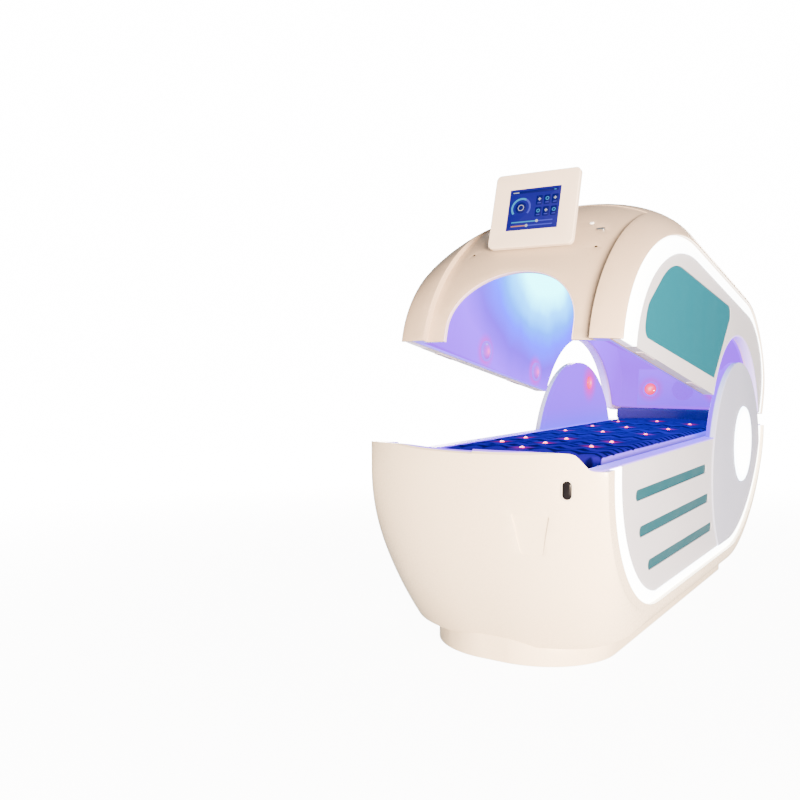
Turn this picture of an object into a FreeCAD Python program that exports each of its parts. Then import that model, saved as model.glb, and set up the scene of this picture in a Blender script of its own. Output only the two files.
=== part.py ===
import FreeCAD, Part
import math
import os

# Infrared sauna capsule. Millimetres, +Z up, floor at z = 0, head end towards -Y, length along Y.
# The lid is drawn shut and then turned open about the rear hinge for the rest pose.

# Side faces and walls
BASE_SIDE_X = 401.0       # outer edge of the base skin, from the middle
LID_SIDE_X = 386.0        # outer edge of the lid skin, from the middle
POCKET_X = 351.0          # floor of the side pockets that hold panels, lights and ears
CAVITY_X = 343.0          # inner face of the moulded side walls
WALL = 8.0                # moulded wall
LIP = 5.0                 # lip of the skin round a side pocket
FRONT_LIP = 53.0          # shoulder of the bowl in front of the base's side pocket
FIT = 0.5                 # clearance between fitted pieces
ORIGIN_Y = 46.5           # middle of the overall length, where the origin lies

# Base skin: values at the side faces, with the extra at the middle
BASE_FRONT = 1083.0
BASE_FRONT_BULGE = 64.0
BASE_REAR = 1092.0
BASE_REAR_BULGE = 50.0
BASE_FLOOR = 151.0
BASE_FLOOR_DROP = 91.0
BASE_TURN_Z = 600.0       # height where the front and rear curves begin
BASE_TOE = 586.0          # forward end of the flat floor
BASE_TOE_BULGE = 400.0
BOWL_FULL = 0.35          # how soon floor and toe fill out from the side faces
BASE_HEEL = 430.0         # rear end of the flat floor
RIM_Z = 632.0
COLLAR_Z = 664.0          # top of the raised collar at the front
COLLAR_RISE_Y = -1150.0   # where the collar starts to rise towards its ends
HORN_Z = 690.0            # top of the collar at its right end, where people get in
HORN_Y = -1122.0
FAR_HORN_RISE_Z = 682.0   # top of the collar as it turns to the far side
FAR_HORN_Z = 676.0        # top of the collar at its far end
FAR_HORN_Y = -1022.0
STEP_RUN = 16.0           # length of the step from collar to side rim

# Lid skin, shut
LID_FRONT = 962.0
LID_FRONT_BULGE = 30.0
LID_TOP = 1145.0
LID_TOP_BULGE = 152.0
LID_REAR = 1150.0
LID_REAR_BULGE = 40.0
LID_EDGE_Z = 640.0        # lower edge of the lid
LID_REAR_EDGE_Z = 690.0   # raised lower edge behind the hinge
LID_REAR_EDGE_Y = 1000.0
LID_NOSE_RISE = 270.0     # how far up the front starts to lean back
LID_NOSE_RUN = 362.0      # how far back the front curve reaches before the flat top
LID_CROWN_FRONT = -200.0  # flat top begins
LID_CROWN_REAR = 700.0    # flat top ends
LID_SHOULDER_Y = 900.0
LID_SHOULDER_Z = 960.0
LID_REAR_FULL_Z = 820.0   # height where the rear stands furthest back
LID_REAR_TUCK = 45.0      # the rear draws in by this at the lower edge
VISOR_TOP_Y = -520.0      # line across the top where the sunken visor begins
VISOR_HALF = 288.0        # half width of the sunken middle of the visor
VISOR_TURN = 2.6          # the sunken middle leans back by this angle
ARCH_HALF = 227.0
ARCH_TOP_Z = 889.0
ARCH_SPRING_Z = 690.0

# Lid hinge
HINGE_Y = 1095.0
HINGE_Z = 640.0
LID_OPEN = 10.3           # lid angle at rest
LID_TRAVEL = 32.0         # lid angle fully raised
ARM_X = 150.0
ARM_THICK = 12.0
PIN_R = 8.0
RUN_FIT = 0.05            # running clearance on pins and rods
CHEEK_THICK = 8.0
EYE_R = 16.0
BRACKET_FRONT = 29.0      # bracket foot, in front of and behind the pin
BRACKET_REAR = 16.0
BRACKET_HALF = 32.0
BRACKET_FOOT = 8.0
DECK_SLOT_HALF = 30.0
DECK_SLOT_FRONT = 35.0
LEVER_SLOT_FRONT = 90.0
DECK_SLOT_REAR = 80.0

# Lift lever and actuator
LEVER_LENGTH = 110.0
CRANK_PIN_R = 6.0
ROD_R = 9.0
ROD_X = 16.0
ROD_Z = 538.0
TUBE_R = 18.0
TUBE_FRONT_Y = 500.0
TUBE_REAR_Y = 960.0
ROD_FRONT_Y = 580.0
GEAR_HALF = 40.0
GEAR_LONG = 85.0
MOTOR_R = 27.0
MOTOR_LONG = 130.0
MOTOR_X = 55.0            # motor axis beside the rod
ROD_PLATE = 10.0
ROD_EDGE = 9.0            # metal round the rod's slot
LEVER_EYE_R = 13.0
LEVER_HALF = 12.0
SLOT_PLAY = 2.2           # play of the lever's pin in the rod's slot

# Ears and their lamps
EAR_Y = 603.0
EAR_Z = 486.0
EAR_R = 450.0
EAR_OUT_X = 390.0
EAR_GAP = 24.0            # gap between ear and lid cut-out
LAMP_Y = 689.0
LAMP_Z = 573.0
LAMP_R = 166.0
LAMP_DEPTH = 14.0
LAMP_PROUD = 4.0
EAR_HEATER_Y = 740.0
EAR_HEATER_Z = 835.0
HEATER_R = 32.0

# Side panels, lights, windows and slats
PANEL_OUT_X = 384.0
PANEL_PLATE = 7.0
PANEL_FLANGE = 12.0
BASE_LIGHT_FRONT = 99.0   # width of the base light at the front
BASE_LIGHT_FLOOR = 33.0
LID_LIGHT_FRONT = 122.0
LID_LIGHT_TOP = 58.0
BASE_LIGHT_EDGE_X = 388.0  # outer edge of the base light's face
LID_LIGHT_EDGE_X = 376.0  # outer edge of the lid light's slanted face
LIGHT_FACE_X = 388.0      # inner edge of the slanted faces
SLATS = ((525.0, -790.0, 70.0), (406.0, -752.0, 112.0), (284.0, -660.0, 168.0))
SLAT_TALL = 36.0
SLAT_SINK = 4.0
FLANGE_LAP = 6.0
EAR_FLANGE = 8.0          # edge of the lid panel round the ear cut-out
WINDOW = ((-768.0, 688.0, 36.0), (153.0, 706.0, 25.0), (401.0, 1046.0, 35.0),
          (-520.0, 1004.0, 380.0), (-752.0, 790.0, 110.0))
WINDOW_SINK = 2.0

# Plinth
PLINTH_HALF = 306.0
PLINTH_FRONT = -1000.0
PLINTH_REAR = 711.0
PLINTH_FRONT_R = 266.0
PLINTH_REAR_R = 80.0
PLINTH_WALL = 6.0
PLINTH_LIFT = 2.0
FRAME_Z = 30.0
FRAME_X = 245.0
FRAME_TUBE = 40.0
FOOT_YS = (-740.0, -60.0, 600.0)
FRAME_REACH = 40.0        # the rails run past the end feet by this
FOOT_R = 30.0
FOOT_TALL = 10.0
STEM_R = 8.0
INLET_WIDE = 50.0
INLET_TALL = 30.0
INLET_Z = 60.0
INLET_FLANGE = 8.0        # how far the inlet's flange laps the skirt
INLET_DEEP = 38.0
INLET_WELL = 24.0
INLET_PINS = ((-10.0, -3.0), (0.0, 3.0), (10.0, -3.0))

# Tub liner, rim trim and bed
LINER_GAP = 1.0
LINER_WALL = 5.0
LINER_FLOOR_Z = 566.0
TUB_REAR_Y = 985.0
DECK_Z = 626.0
TRIM_TALL = 5.0
BOARD_Z = 590.0
BOARD_THICK = 15.0
BOARD_HALF = 305.0
BED_FRONT = -850.0
BED_REAR = 965.0
BED_CORNER = 60.0
MAT_HALF = 292.0
MAT_SIDE = 40.0           # height of the mat at its sides
MAT_CROWN = 12.0
MAT_TUCK = 12.0           # the sides draw in by this at the board
MAT_ROUND = 10.0
MAT_MARGIN = 14.0         # mat edge behind the board edge, at head and foot
CHANNEL_YS = (-700.0, -505.0, -210.0, 130.0, 480.0)
CHANNEL_R = 7.0
CHANNEL_LIFT = 2.0        # channel centre above the crown
LIGHTS_MIDDLE = (-790.0, -600.0, -410.0, -30.0, 260.0, 700.0)   # rows down the middle
LIGHTS_SIDE = (-600.0, -400.0, -10.0, 300.0, 640.0)             # rows down each side
LIGHT_X = 168.0
LIGHT_R = 8.0
LIGHT_DEEP = 8.0
HEATER_THICK = 6.0
HEATER_HALF = 250.0
HEATER_LONG = 820.0       # half length of the bed heater
BATTEN_YS = (-700.0, 0.0, 700.0)
BATTEN_HALF = 240.0
BATTEN_WIDE = 50.0
FOOT_BOARD_Y = 986.0
FOOT_BOARD_THICK = 18.0
FOOT_BOARD_HALF = 300.0
FOOT_BOARD_TOP = 706.0

# Control unit inside the base
UNIT_X = (-210.0, -50.0)
UNIT_Y = (-420.0, -120.0)
UNIT_TOP = 300.0
UNIT_COVER = 4.0
UNIT_LAP = 5.0
GLAND_XS = (-180.0, -130.0, -80.0)
GLAND_Z = 220.0
GLAND_R = 10.0

# Bed frame
RAIL_X = 250.0
RAIL = 24.0
RAIL_FRONT = -850.0
RAIL_REAR = 1085.0
POST_YS = (-760.0, -60.0, 560.0)
POST_WIDE = 40.0
STUB_FRONT = 50.0         # cross stub under the bracket, in front of and behind the pin
STUB_REAR = 17.0
STUB_END = 110.0          # inner end of the stub, from the middle
CROSS_YS = (-760.0, -60.0, 445.0)
CROSS_TOP_Z = 499.0
CROSS_TALL = 30.0

# Lid liner and fittings, shut
LID_LINER_GAP = 42.0
LID_LINER_WALL = 5.0
LID_LINER_X = 338.0
SILL = 6.0
SILL_REAR = 985.0
PAD_YS = (-690.0, -95.0)
PAD_LONG = 120.0
PAD_TALL = 2.4
LAMP_SIDE_YS = (-450.0, 20.0)
LAMP_SIDE_Z = 705.0
LAMP_REAR_X = 166.0
LAMP_REAR_Z = 800.0
IR_LENS_R = 32.0
IR_RING_R = 40.0
IR_RING_PROUD = 8.0
CONSOLE_Y = 1105.0
CONSOLE_HALF = 235.0
CONSOLE_BELOW = 84.0
CONSOLE_ABOVE = 105.0
SPEAKER_R = 55.0
CEILING_Y = -430.0
CEILING_HALF = 150.0
CEILING_WIDE = 40.0
CEILING_DEEP = 14.0
SCREW_X = 221.0
SCREW_Z = 989.0
SCREW_R = 5.0

# Display, lid shut
DISPLAY_WIDE = 306.0
DISPLAY_TALL = 269.0
DISPLAY_THICK = 18.0
DISPLAY_CORNER = 18.0
DISPLAY_Y = -844.0        # lower edge of the front face
DISPLAY_Z = 982.0
DISPLAY_LEAN = 5.7
SCREEN_WIDE = 186.0
SCREEN_TALL = 150.0
SCREEN_THICK = 3.0
TILT_Y = -797.0
TILT_Z = 1064.0
TILT_R = 12.0
TILT_PIN_R = 5.0
PEDESTAL_HALF = 30.0
LUG_THICK = 12.0
LUG_REACH = 25.0          # root of the lug towards the display
PEDESTAL_RUN = 150.0
PEDESTAL_DROP = 60.0

# Buttons
BUTTON_X = 295.0
BUTTON_Z = 577.0
BUTTON_TURN = 12.9        # the bowl's surface faces this far to the side here
BUTTON_WIDE = 26.0
BUTTON_TALL = 52.0
BEZEL_RIM = 5.0
BUTTON_TRAVEL = 4.0
LID_BUTTON_X = 205.0
LID_BUTTON_Z = 1066.0
LID_BUTTON_WIDE = 30.0
LID_BUTTON_TALL = 16.0
LID_BUTTON_TRAVEL = 2.0
STATUS_X = 160.0
STATUS_Z = 1100.0
STATUS_R = 7.0
SCOOP_X = 185.0
SCOOP_Z = 438.0
SCOOP_TURN = 5.7
SCOOP_LEAN = -7.9
SCOOP_WIDE = 116.0
SCOOP_FOOT = 68.0
SCOOP_TALL = 120.0
SCOOP_DEPTH = 5.5


def vec(x, y, z):
    return FreeCAD.Vector(x, y, z)


def box(x0, x1, y0, y1, z0, z1):
    return Part.makeBox(x1 - x0, y1 - y0, z1 - z0, vec(x0, y0, z0))


def rod_x(x0, x1, y, z, r):
    return Part.makeCylinder(r, x1 - x0, vec(x0, y, z), vec(1, 0, 0))


def rod_y(y0, y1, x, z, r):
    return Part.makeCylinder(r, y1 - y0, vec(x, y0, z), vec(0, 1, 0))


def rod_z(z0, z1, x, y, r):
    return Part.makeCylinder(r, z1 - z0, vec(x, y, z0), vec(0, 0, 1))


def mirrored(shape):
    return shape.mirror(vec(0, 0, 0), vec(1, 0, 0))


def both(shape):
    return Part.makeCompound([shape, mirrored(shape)])


def opened(shape):
    """Turns a piece of the shut lid to the rest pose."""
    turned = shape.copy()
    turned.rotate(vec(0, HINGE_Y, HINGE_Z), vec(1, 0, 0), -LID_OPEN)
    return turned


def joined(shapes):
    return shapes[0].multiFuse(shapes[1:]).removeSplitter()


def less(shape, tools):
    return shape.cut(tools) if isinstance(tools, list) else shape.cut([tools])


def on_yz(x):
    return lambda a, b: vec(x, a, b)


def on_xz(y):
    return lambda a, b: vec(a, y, b)


def on_xy(z):
    return lambda a, b: vec(a, b, z)


def rounded(corners, place):
    """Closed wire through (a, b, radius) corners, each rounded by its own radius."""
    count = len(corners)
    ends = []
    for i in range(count):
        a, b, r = corners[i]
        here = FreeCAD.Vector(a, b, 0)
        back = FreeCAD.Vector(*corners[i - 1][:2], 0).sub(here)
        ahead = FreeCAD.Vector(*corners[(i + 1) % count][:2], 0).sub(here)
        half = back.getAngle(ahead) / 2
        back.normalize()
        ahead.normalize()
        reach = r / math.tan(half)
        bisector = back.add(ahead)
        bisector.normalize()
        middle = here.add(bisector.multiply(r / math.sin(half) - r))
        ends.append((here.add(back.multiply(reach)), middle, here.add(ahead.multiply(reach))))
    edges = []
    for i in range(count):
        start, middle, end = [place(p.x, p.y) for p in ends[i]]
        if corners[i][2] > 0:
            edges.append(Part.Arc(start, middle, end).toShape())
        follow = ends[(i + 1) % count][0]
        edges.append(Part.makeLine(end, place(follow.x, follow.y)))
    return Part.Wire(edges)


def slab(wire, direction):
    return Part.Face(wire).extrude(direction)


def plate_x(corners, x0, x1):
    return slab(rounded(corners, on_yz(x0)), vec(x1 - x0, 0, 0))


def curve(points):
    bezier = Part.BezierCurve()
    bezier.setPoles(points)
    return bezier.toShape()


def swell(x, side):
    """Share of the bulge at distance x from the middle: 1 in the middle, 0 at the side faces."""
    return (1 - min(abs(x) / side, 1.0) ** 2.6) ** 0.75


def base_wire(x, front, rear, floor, toe, top):
    """Side outline of the base at one x: front arc, flat floor and swept-up rear."""
    at = on_yz(x)
    reach = toe - front
    drop = BASE_TURN_Z - floor
    r = (reach * reach + drop * drop) / (2 * reach)
    half = math.atan2(drop, r - reach) / 2
    middle = at(front + r - r * math.cos(half), BASE_TURN_Z - r * math.sin(half))
    rise = BASE_TURN_Z + 20 - floor
    run = rear - BASE_HEEL
    edges = [
        Part.makeLine(at(front, top), at(front, BASE_TURN_Z)),
        Part.Arc(at(front, BASE_TURN_Z), middle, at(toe, floor)).toShape(),
        Part.makeLine(at(toe, floor), at(BASE_HEEL, floor)),
        curve([at(BASE_HEEL, floor), at(BASE_HEEL + 0.45 * run, floor),
               at(rear, floor + 0.55 * rise), at(rear, floor + rise)]),
        Part.makeLine(at(rear, floor + rise), at(rear, top)),
        Part.makeLine(at(rear, top), at(front, top)),
    ]
    return Part.Wire(edges)


def base_shape(x):
    """Front, rear, floor and toe of the base skin at one x."""
    s = swell(x, BASE_SIDE_X)
    full = s ** BOWL_FULL
    return (-BASE_FRONT - BASE_FRONT_BULGE * s, BASE_REAR + BASE_REAR_BULGE * s,
            BASE_FLOOR - BASE_FLOOR_DROP * full, -BASE_TOE - BASE_TOE_BULGE * full)


def base_section(x, inset, top):
    front, rear, floor, toe = base_shape(x)
    return base_wire(x, front + inset, rear - inset, floor + inset, toe, top)


def lid_wire(x, front, rear, top, low):
    """Side outline of the lid at one x: leaning front, flat top, rounded rear."""
    at = on_yz(x)
    full = LID_REAR_FULL_Z
    low_rear = rear - LID_REAR_TUCK
    edges = [
        Part.makeLine(at(front, low), at(front, LID_EDGE_Z)),
        curve([at(front, LID_EDGE_Z), at(front, LID_EDGE_Z + LID_NOSE_RISE),
               at(front + LID_NOSE_RUN, top), at(LID_CROWN_FRONT, top)]),
        Part.makeLine(at(LID_CROWN_FRONT, top), at(LID_CROWN_REAR, top)),
        curve([at(LID_CROWN_REAR, top), at(LID_SHOULDER_Y, top), at(rear, LID_SHOULDER_Z), at(rear, full)]),
        curve([at(rear, full), at(rear, full - 60),
               at(low_rear + 25, LID_EDGE_Z + 60), at(low_rear, LID_EDGE_Z)]),
        Part.makeLine(at(low_rear, LID_EDGE_Z), at(low_rear, low)),
        Part.makeLine(at(low_rear, low), at(front, low)),
    ]
    return Part.Wire(edges)


def lid_section(x, inset, low):
    s = swell(x, LID_SIDE_X)
    front = -LID_FRONT - LID_FRONT_BULGE * s + inset
    rear = LID_REAR + LID_REAR_BULGE * s - inset
    return lid_wire(x, front, rear, LID_TOP + LID_TOP_BULGE * s - inset, low)


def skin(section, inset, half, limit):
    """Solid through side outlines from one side face to the other."""
    stations = (0.39, 0.7, 0.88, 1.0)
    xs = [-half * f for f in reversed(stations)] + [0.0] + [half * f for f in stations]
    return Part.makeLoft([section(x, inset, limit) for x in xs], True, False)


def outline_prism(wire, x1):
    return slab(wire, vec(x1, 0, 0))


def base_pocket():
    wire = base_wire(POCKET_X, -BASE_FRONT + FRONT_LIP, BASE_REAR - LIP, BASE_FLOOR + LIP, -BASE_TOE, 900)
    return outline_prism(wire, 60)


def lid_pocket():
    wire = lid_wire(POCKET_X, -LID_FRONT + LIP, LID_REAR - LIP, LID_TOP - LIP, 500)
    return outline_prism(wire, 60)


def base_inner_wire(x, inset):
    """Inner edge of the base light, where the side panel begins."""
    front = -BASE_FRONT + FRONT_LIP + BASE_LIGHT_FRONT + inset
    return base_wire(x, front, BASE_REAR - BASE_LIGHT_FLOOR - inset,
                     BASE_FLOOR + BASE_LIGHT_FLOOR + inset, -BASE_TOE + 13, 1000)


def lid_inner_wire(x, inset):
    return lid_wire(x, -LID_FRONT + LID_LIGHT_FRONT + inset, LID_REAR - LID_LIGHT_TOP - inset,
                    LID_TOP - LID_LIGHT_TOP - inset, 500)


def rim_cutter():
    """Everything above the rim: low along the sides, raised round the bowl, with rounded steps at its ends."""
    ahead = ((-1400, COLLAR_Z, 0), (COLLAR_RISE_Y, COLLAR_Z, 30))
    behind = ((1400, RIM_Z, 0), (1400, 1500, 0), (-1400, 1500, 0))
    near = ((HORN_Y, HORN_Z, 10), (HORN_Y + STEP_RUN, RIM_Z, 10))
    far = ((HORN_Y, FAR_HORN_RISE_Z, 12), (FAR_HORN_Y, FAR_HORN_Z, 12), (FAR_HORN_Y + STEP_RUN, RIM_Z, 12))
    return plate_x(ahead + near + behind, 0, 600).fuse(plate_x(ahead + far + behind, -600, 0))


def lid_trimmers():
    """Everything under the lid's lower edge, with the raised stretch behind the hinge."""
    return [box(-600, 600, -1400, 1400, 400, LID_EDGE_Z),
            box(-600, 600, LID_REAR_EDGE_Y, 1400, 400, LID_REAR_EDGE_Z)]


def ear_clear(x0, x1):
    cutter = rod_x(x0, x1, EAR_Y, EAR_Z, EAR_R + EAR_GAP)
    return [cutter, mirrored(cutter)]


def arch_prism(inset):
    """Arched opening of the lid front, run back through the visor."""
    half = ARCH_HALF - inset
    top = ARCH_TOP_Z - inset
    at = on_xz(-1200)
    haunch = ARCH_SPRING_Z + 0.55 * (top - ARCH_SPRING_Z)
    edges = [
        Part.makeLine(at(-half, 400), at(-half, ARCH_SPRING_Z)),
        curve([at(-half, ARCH_SPRING_Z), at(-half, haunch), at(-0.55 * half, top), at(0, top)]),
        curve([at(0, top), at(0.55 * half, top), at(half, haunch), at(half, ARCH_SPRING_Z)]),
        Part.makeLine(at(half, ARCH_SPRING_Z), at(half, 400)),
        Part.makeLine(at(half, 400), at(-half, 400)),
    ]
    return slab(Part.Wire(edges), vec(0, 620, 0))


def facing(x, y, z, turn, lean):
    """Placement whose local +Z leaves a surface at (x, y, z): turned to the side, then leaned up."""
    tilt = FreeCAD.Rotation(vec(1, 0, 0), 90 - lean)
    yaw = FreeCAD.Rotation(vec(0, 0, 1), turn)
    return FreeCAD.Placement(vec(x, y, z), yaw.multiply(tilt))


def stadium(wide, tall, z0, z1):
    """Upright or flat rounded bar in local coordinates."""
    r = min(wide, tall) / 2 - 0.01
    a, b = wide / 2, tall / 2
    corners = ((-a, -b, r), (a, -b, r), (a, b, r), (-a, b, r))
    return slab(rounded(corners, on_xy(z0)), vec(0, 0, z1 - z0))


def placed(shape, placement):
    moved = shape.copy()
    moved.Placement = placement.multiply(moved.Placement)
    return moved


def bowl_front(x, z):
    """Y of the bowl's skin at (x, z)."""
    front, _, floor, toe = base_shape(x)
    reach = toe - front
    drop = BASE_TURN_Z - floor
    r = (reach * reach + drop * drop) / (2 * reach)
    return front + r - math.sqrt(r * r - min(z - BASE_TURN_Z, 0) ** 2)


def visor_point(x, z):
    """Y and lean of the lid's front skin at (x, z), before the visor is sunk."""
    s = swell(x, LID_SIDE_X)
    front = -LID_FRONT - LID_FRONT_BULGE * s
    top = LID_TOP + LID_TOP_BULGE * s
    ys = (front, front, front + LID_NOSE_RUN, LID_CROWN_FRONT)
    zs = (LID_EDGE_Z, LID_EDGE_Z + LID_NOSE_RISE, top, top)
    low, high = 0.0, 1.0
    for _ in range(40):
        t = (low + high) / 2
        weights = ((1 - t) ** 3, 3 * t * (1 - t) ** 2, 3 * t * t * (1 - t), t ** 3)
        if sum(w * c for w, c in zip(weights, zs)) < z:
            low = t
        else:
            high = t
    slopes = (3 * (1 - t) ** 2, 6 * t * (1 - t), 3 * t * t)
    dy = sum(w * (ys[i + 1] - ys[i]) for i, w in enumerate(slopes))
    dz = sum(w * (zs[i + 1] - zs[i]) for i, w in enumerate(slopes))
    y = sum(w * c for w, c in zip(weights, ys))
    return y, math.degrees(math.atan2(dy, dz))


def button_place():
    return facing(BUTTON_X, bowl_front(BUTTON_X, BUTTON_Z), BUTTON_Z, BUTTON_TURN, 0)


def sunk(x, z):
    """Place on the sunken visor, with local +Z out of it."""
    y, lean = visor_point(x, z)
    pivot_y, pivot_z = visor_axis()
    turn = math.radians(VISOR_TURN)
    dy = -(z - pivot_z) * turn
    dz = (y - pivot_y) * turn
    return facing(x, y + dy, z + dz, 0, lean)


def visor_axis():
    """Line across the lid top where the sunken visor meets the skin."""
    return VISOR_TOP_Y, LID_TOP + LID_TOP_BULGE


def base_cavity():
    return skin(base_section, WALL, CAVITY_X, 740)


def tub_space():
    """Space inside the tub's liner, without its floor."""
    return skin(base_section, WALL + LINER_GAP + LINER_WALL, CAVITY_X - LINER_GAP - LINER_WALL, 740)


def base_shell():
    shell = skin(base_section, 0, BASE_SIDE_X, 720)
    pocket = base_pocket()
    cavity = base_cavity()
    place = button_place()
    hole = placed(stadium(BUTTON_WIDE + 2 * FIT + 4, BUTTON_TALL + 2 * FIT + 4, -40, 40), place)
    face = placed(stadium(BUTTON_WIDE + 2 * BEZEL_RIM + 1, BUTTON_TALL + 2 * BEZEL_RIM + 1, -2, 30), place)
    scoop_place = facing(SCOOP_X, bowl_front(SCOOP_X, SCOOP_Z), SCOOP_Z, SCOOP_TURN, SCOOP_LEAN)
    corners = ((-SCOOP_FOOT / 2, -SCOOP_TALL / 2, 12), (SCOOP_FOOT / 2, -SCOOP_TALL / 2, 12),
               (SCOOP_WIDE / 2, SCOOP_TALL / 2, 4), (-SCOOP_WIDE / 2, SCOOP_TALL / 2, 4))
    scoop = slab(rounded(corners, on_xy(-SCOOP_DEPTH)), vec(0, 0, 60))
    tools = [cavity, pocket, mirrored(pocket), rim_cutter(), hole, face, placed(scoop, scoop_place)]
    return less(shell, tools)


def plinth_corners(inset):
    half = PLINTH_HALF - inset
    front_r = PLINTH_FRONT_R - inset
    rear_r = PLINTH_REAR_R - inset
    return ((half, PLINTH_FRONT + inset, front_r), (half, PLINTH_REAR - inset, rear_r),
            (-half, PLINTH_REAR - inset, rear_r), (-half, PLINTH_FRONT + inset, front_r))


def plinth_skirt(under):
    outer = slab(rounded(plinth_corners(0), on_xy(PLINTH_LIFT)), vec(0, 0, 240))
    inner = slab(rounded(plinth_corners(PLINTH_WALL), on_xy(0)), vec(0, 0, 300))
    opening = box(-INLET_WIDE / 2, INLET_WIDE / 2, PLINTH_REAR - 40, PLINTH_REAR + 20,
                  INLET_Z - INLET_TALL / 2, INLET_Z + INLET_TALL / 2)
    return less(outer, [inner, under, opening])


def plinth_frame(under):
    half = FRAME_TUBE / 2
    y0, y1 = FOOT_YS[0] - FRAME_REACH, FOOT_YS[-1] + FRAME_REACH
    rail = box(FRAME_X, FRAME_X + FRAME_TUBE, y0, y1, FRAME_Z, 200)
    crosses = [box(-FRAME_X, FRAME_X, y - half, y + half, FRAME_Z, 200) for y in FOOT_YS]
    return less(joined([rail, mirrored(rail)] + crosses), under)


def levelling_feet():
    x = FRAME_X + FRAME_TUBE / 2
    feet = []
    for y in FOOT_YS:
        foot = rod_z(0, FOOT_TALL, x, y, FOOT_R).fuse(rod_z(FOOT_TALL, FRAME_Z, x, y, STEM_R))
        feet += [foot, mirrored(foot)]
    return Part.makeCompound(feet)


def power_inlet():
    """Mains inlet: flange, body, open well and three blades."""
    half = INLET_WIDE / 2
    tall = INLET_TALL / 2
    lap = INLET_FLANGE
    face = PLINTH_REAR
    flange = box(-half - lap, half + lap, face, face + 3, INLET_Z - tall - lap, INLET_Z + tall + lap)
    body = box(-half, half, face - INLET_DEEP, face, INLET_Z - tall, INLET_Z + tall)
    well = box(8 - half, half - 8, face - INLET_WELL, face + 10, INLET_Z - tall + 6, INLET_Z + tall - 6)
    pins = [box(x - 2, x + 2, face - INLET_WELL - 2, face - 4, INLET_Z + dz - 3, INLET_Z + dz + 3)
            for x, dz in INLET_PINS]
    return joined([less(flange.fuse(body), well)] + pins)


def deck_slots():
    """Openings in the rear deck for the hinge cheeks and the lift lever."""
    rear = HINGE_Y + DECK_SLOT_REAR
    slot = box(ARM_X - DECK_SLOT_HALF, ARM_X + DECK_SLOT_HALF, HINGE_Y - DECK_SLOT_FRONT, rear, 560, 700)
    lever = box(-DECK_SLOT_HALF, DECK_SLOT_HALF, HINGE_Y - LEVER_SLOT_FRONT, rear, 560, 700)
    return [slot, mirrored(slot), lever]


def tub_liner():
    outer = skin(base_section, WALL + LINER_GAP, CAVITY_X - LINER_GAP, 720)
    tray = tub_space().common(box(-600, 600, -1400, TUB_REAR_Y, LINER_FLOOR_Z + LINER_WALL, 900))
    under_deck = box(-600, 600, TUB_REAR_Y + LINER_WALL, 1400, 0, DECK_Z)
    button = placed(stadium(BUTTON_WIDE + 8, BUTTON_TALL + 8, -60, 0), button_place())
    tools = [box(-600, 600, -1400, 1400, -100, LINER_FLOOR_Z), tray, under_deck, rim_cutter(), button]
    return less(outer, tools + deck_slots())


def foot_board():
    """Upholstered board across the foot of the tub, in front of the hinge."""
    corners = ((-FOOT_BOARD_HALF, RIM_Z + TRIM_TALL, 0), (FOOT_BOARD_HALF, RIM_Z + TRIM_TALL, 0),
               (FOOT_BOARD_HALF, FOOT_BOARD_TOP, 24), (-FOOT_BOARD_HALF, FOOT_BOARD_TOP, 24))
    return slab(rounded(corners, on_xz(FOOT_BOARD_Y)), vec(0, FOOT_BOARD_THICK, 0))


def rim_trim():
    """Flat trim over the side rims and the rear deck."""
    cover = skin(base_section, 2, PANEL_OUT_X + 2, 700)
    sheet = cover.common(box(-600, 600, HORN_Y + STEP_RUN + 12, 1400, RIM_Z, RIM_Z + TRIM_TALL))
    well = tub_space().common(box(-600, 600, -1400, TUB_REAR_Y, 600, 900))
    ears = rod_x(POCKET_X, 500, EAR_Y, EAR_Z, EAR_R + FIT)
    far = box(-600, 0, -1400, FAR_HORN_Y + STEP_RUN + 12, RIM_Z, RIM_Z + TRIM_TALL)
    return less(sheet, [well, far, ears, mirrored(ears)] + deck_slots())


def bed_frame():
    """Rails under the tub floor, posts to the shell's floor, cross members and stubs for the hinge."""
    half = RAIL / 2
    x0, x1 = RAIL_X - half, RAIL_X + half
    low = LINER_FLOOR_Z - RAIL
    cross_low = CROSS_TOP_Z - CROSS_TALL
    wide = POST_WIDE / 2
    rail = box(x0, x1, RAIL_FRONT, RAIL_REAR, low, LINER_FLOOR_Z)
    stub = box(STUB_END, RAIL_X, HINGE_Y - STUB_FRONT, HINGE_Y + STUB_REAR, low, LINER_FLOOR_Z)
    posts = [box(x0, x1, y - wide, y + wide, 60, LINER_FLOOR_Z) for y in POST_YS]
    hangers = [box(x0, x1, y - wide, y + wide, cross_low, LINER_FLOOR_Z) for y in CROSS_YS]
    side = joined([rail, stub] + posts + hangers)
    crosses = [box(-RAIL_X, RAIL_X, y - wide, y + wide, cross_low, CROSS_TOP_Z) for y in CROSS_YS]
    return joined([side, mirrored(side)] + crosses).common(base_cavity())


def control_unit():
    """Boxed electronics on the shell's floor, with a lapped cover and cable glands."""
    x0, x1 = UNIT_X
    y0, y1 = UNIT_Y
    case = box(x0, x1, y0, y1, 60, UNIT_TOP).common(base_cavity())
    cover = box(x0 - UNIT_LAP, x1 + UNIT_LAP, y0 - UNIT_LAP, y1 + UNIT_LAP, UNIT_TOP, UNIT_TOP + UNIT_COVER)
    glands = [rod_y(y1, y1 + 20, x, GLAND_Z, GLAND_R) for x in GLAND_XS]
    return joined([case, cover] + glands)


def bed_corners(margin, half):
    r = BED_CORNER
    return ((-half, BED_FRONT + margin, r), (half, BED_FRONT + margin, r),
            (half, BED_REAR - margin, r), (-half, BED_REAR - margin, r))


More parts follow.
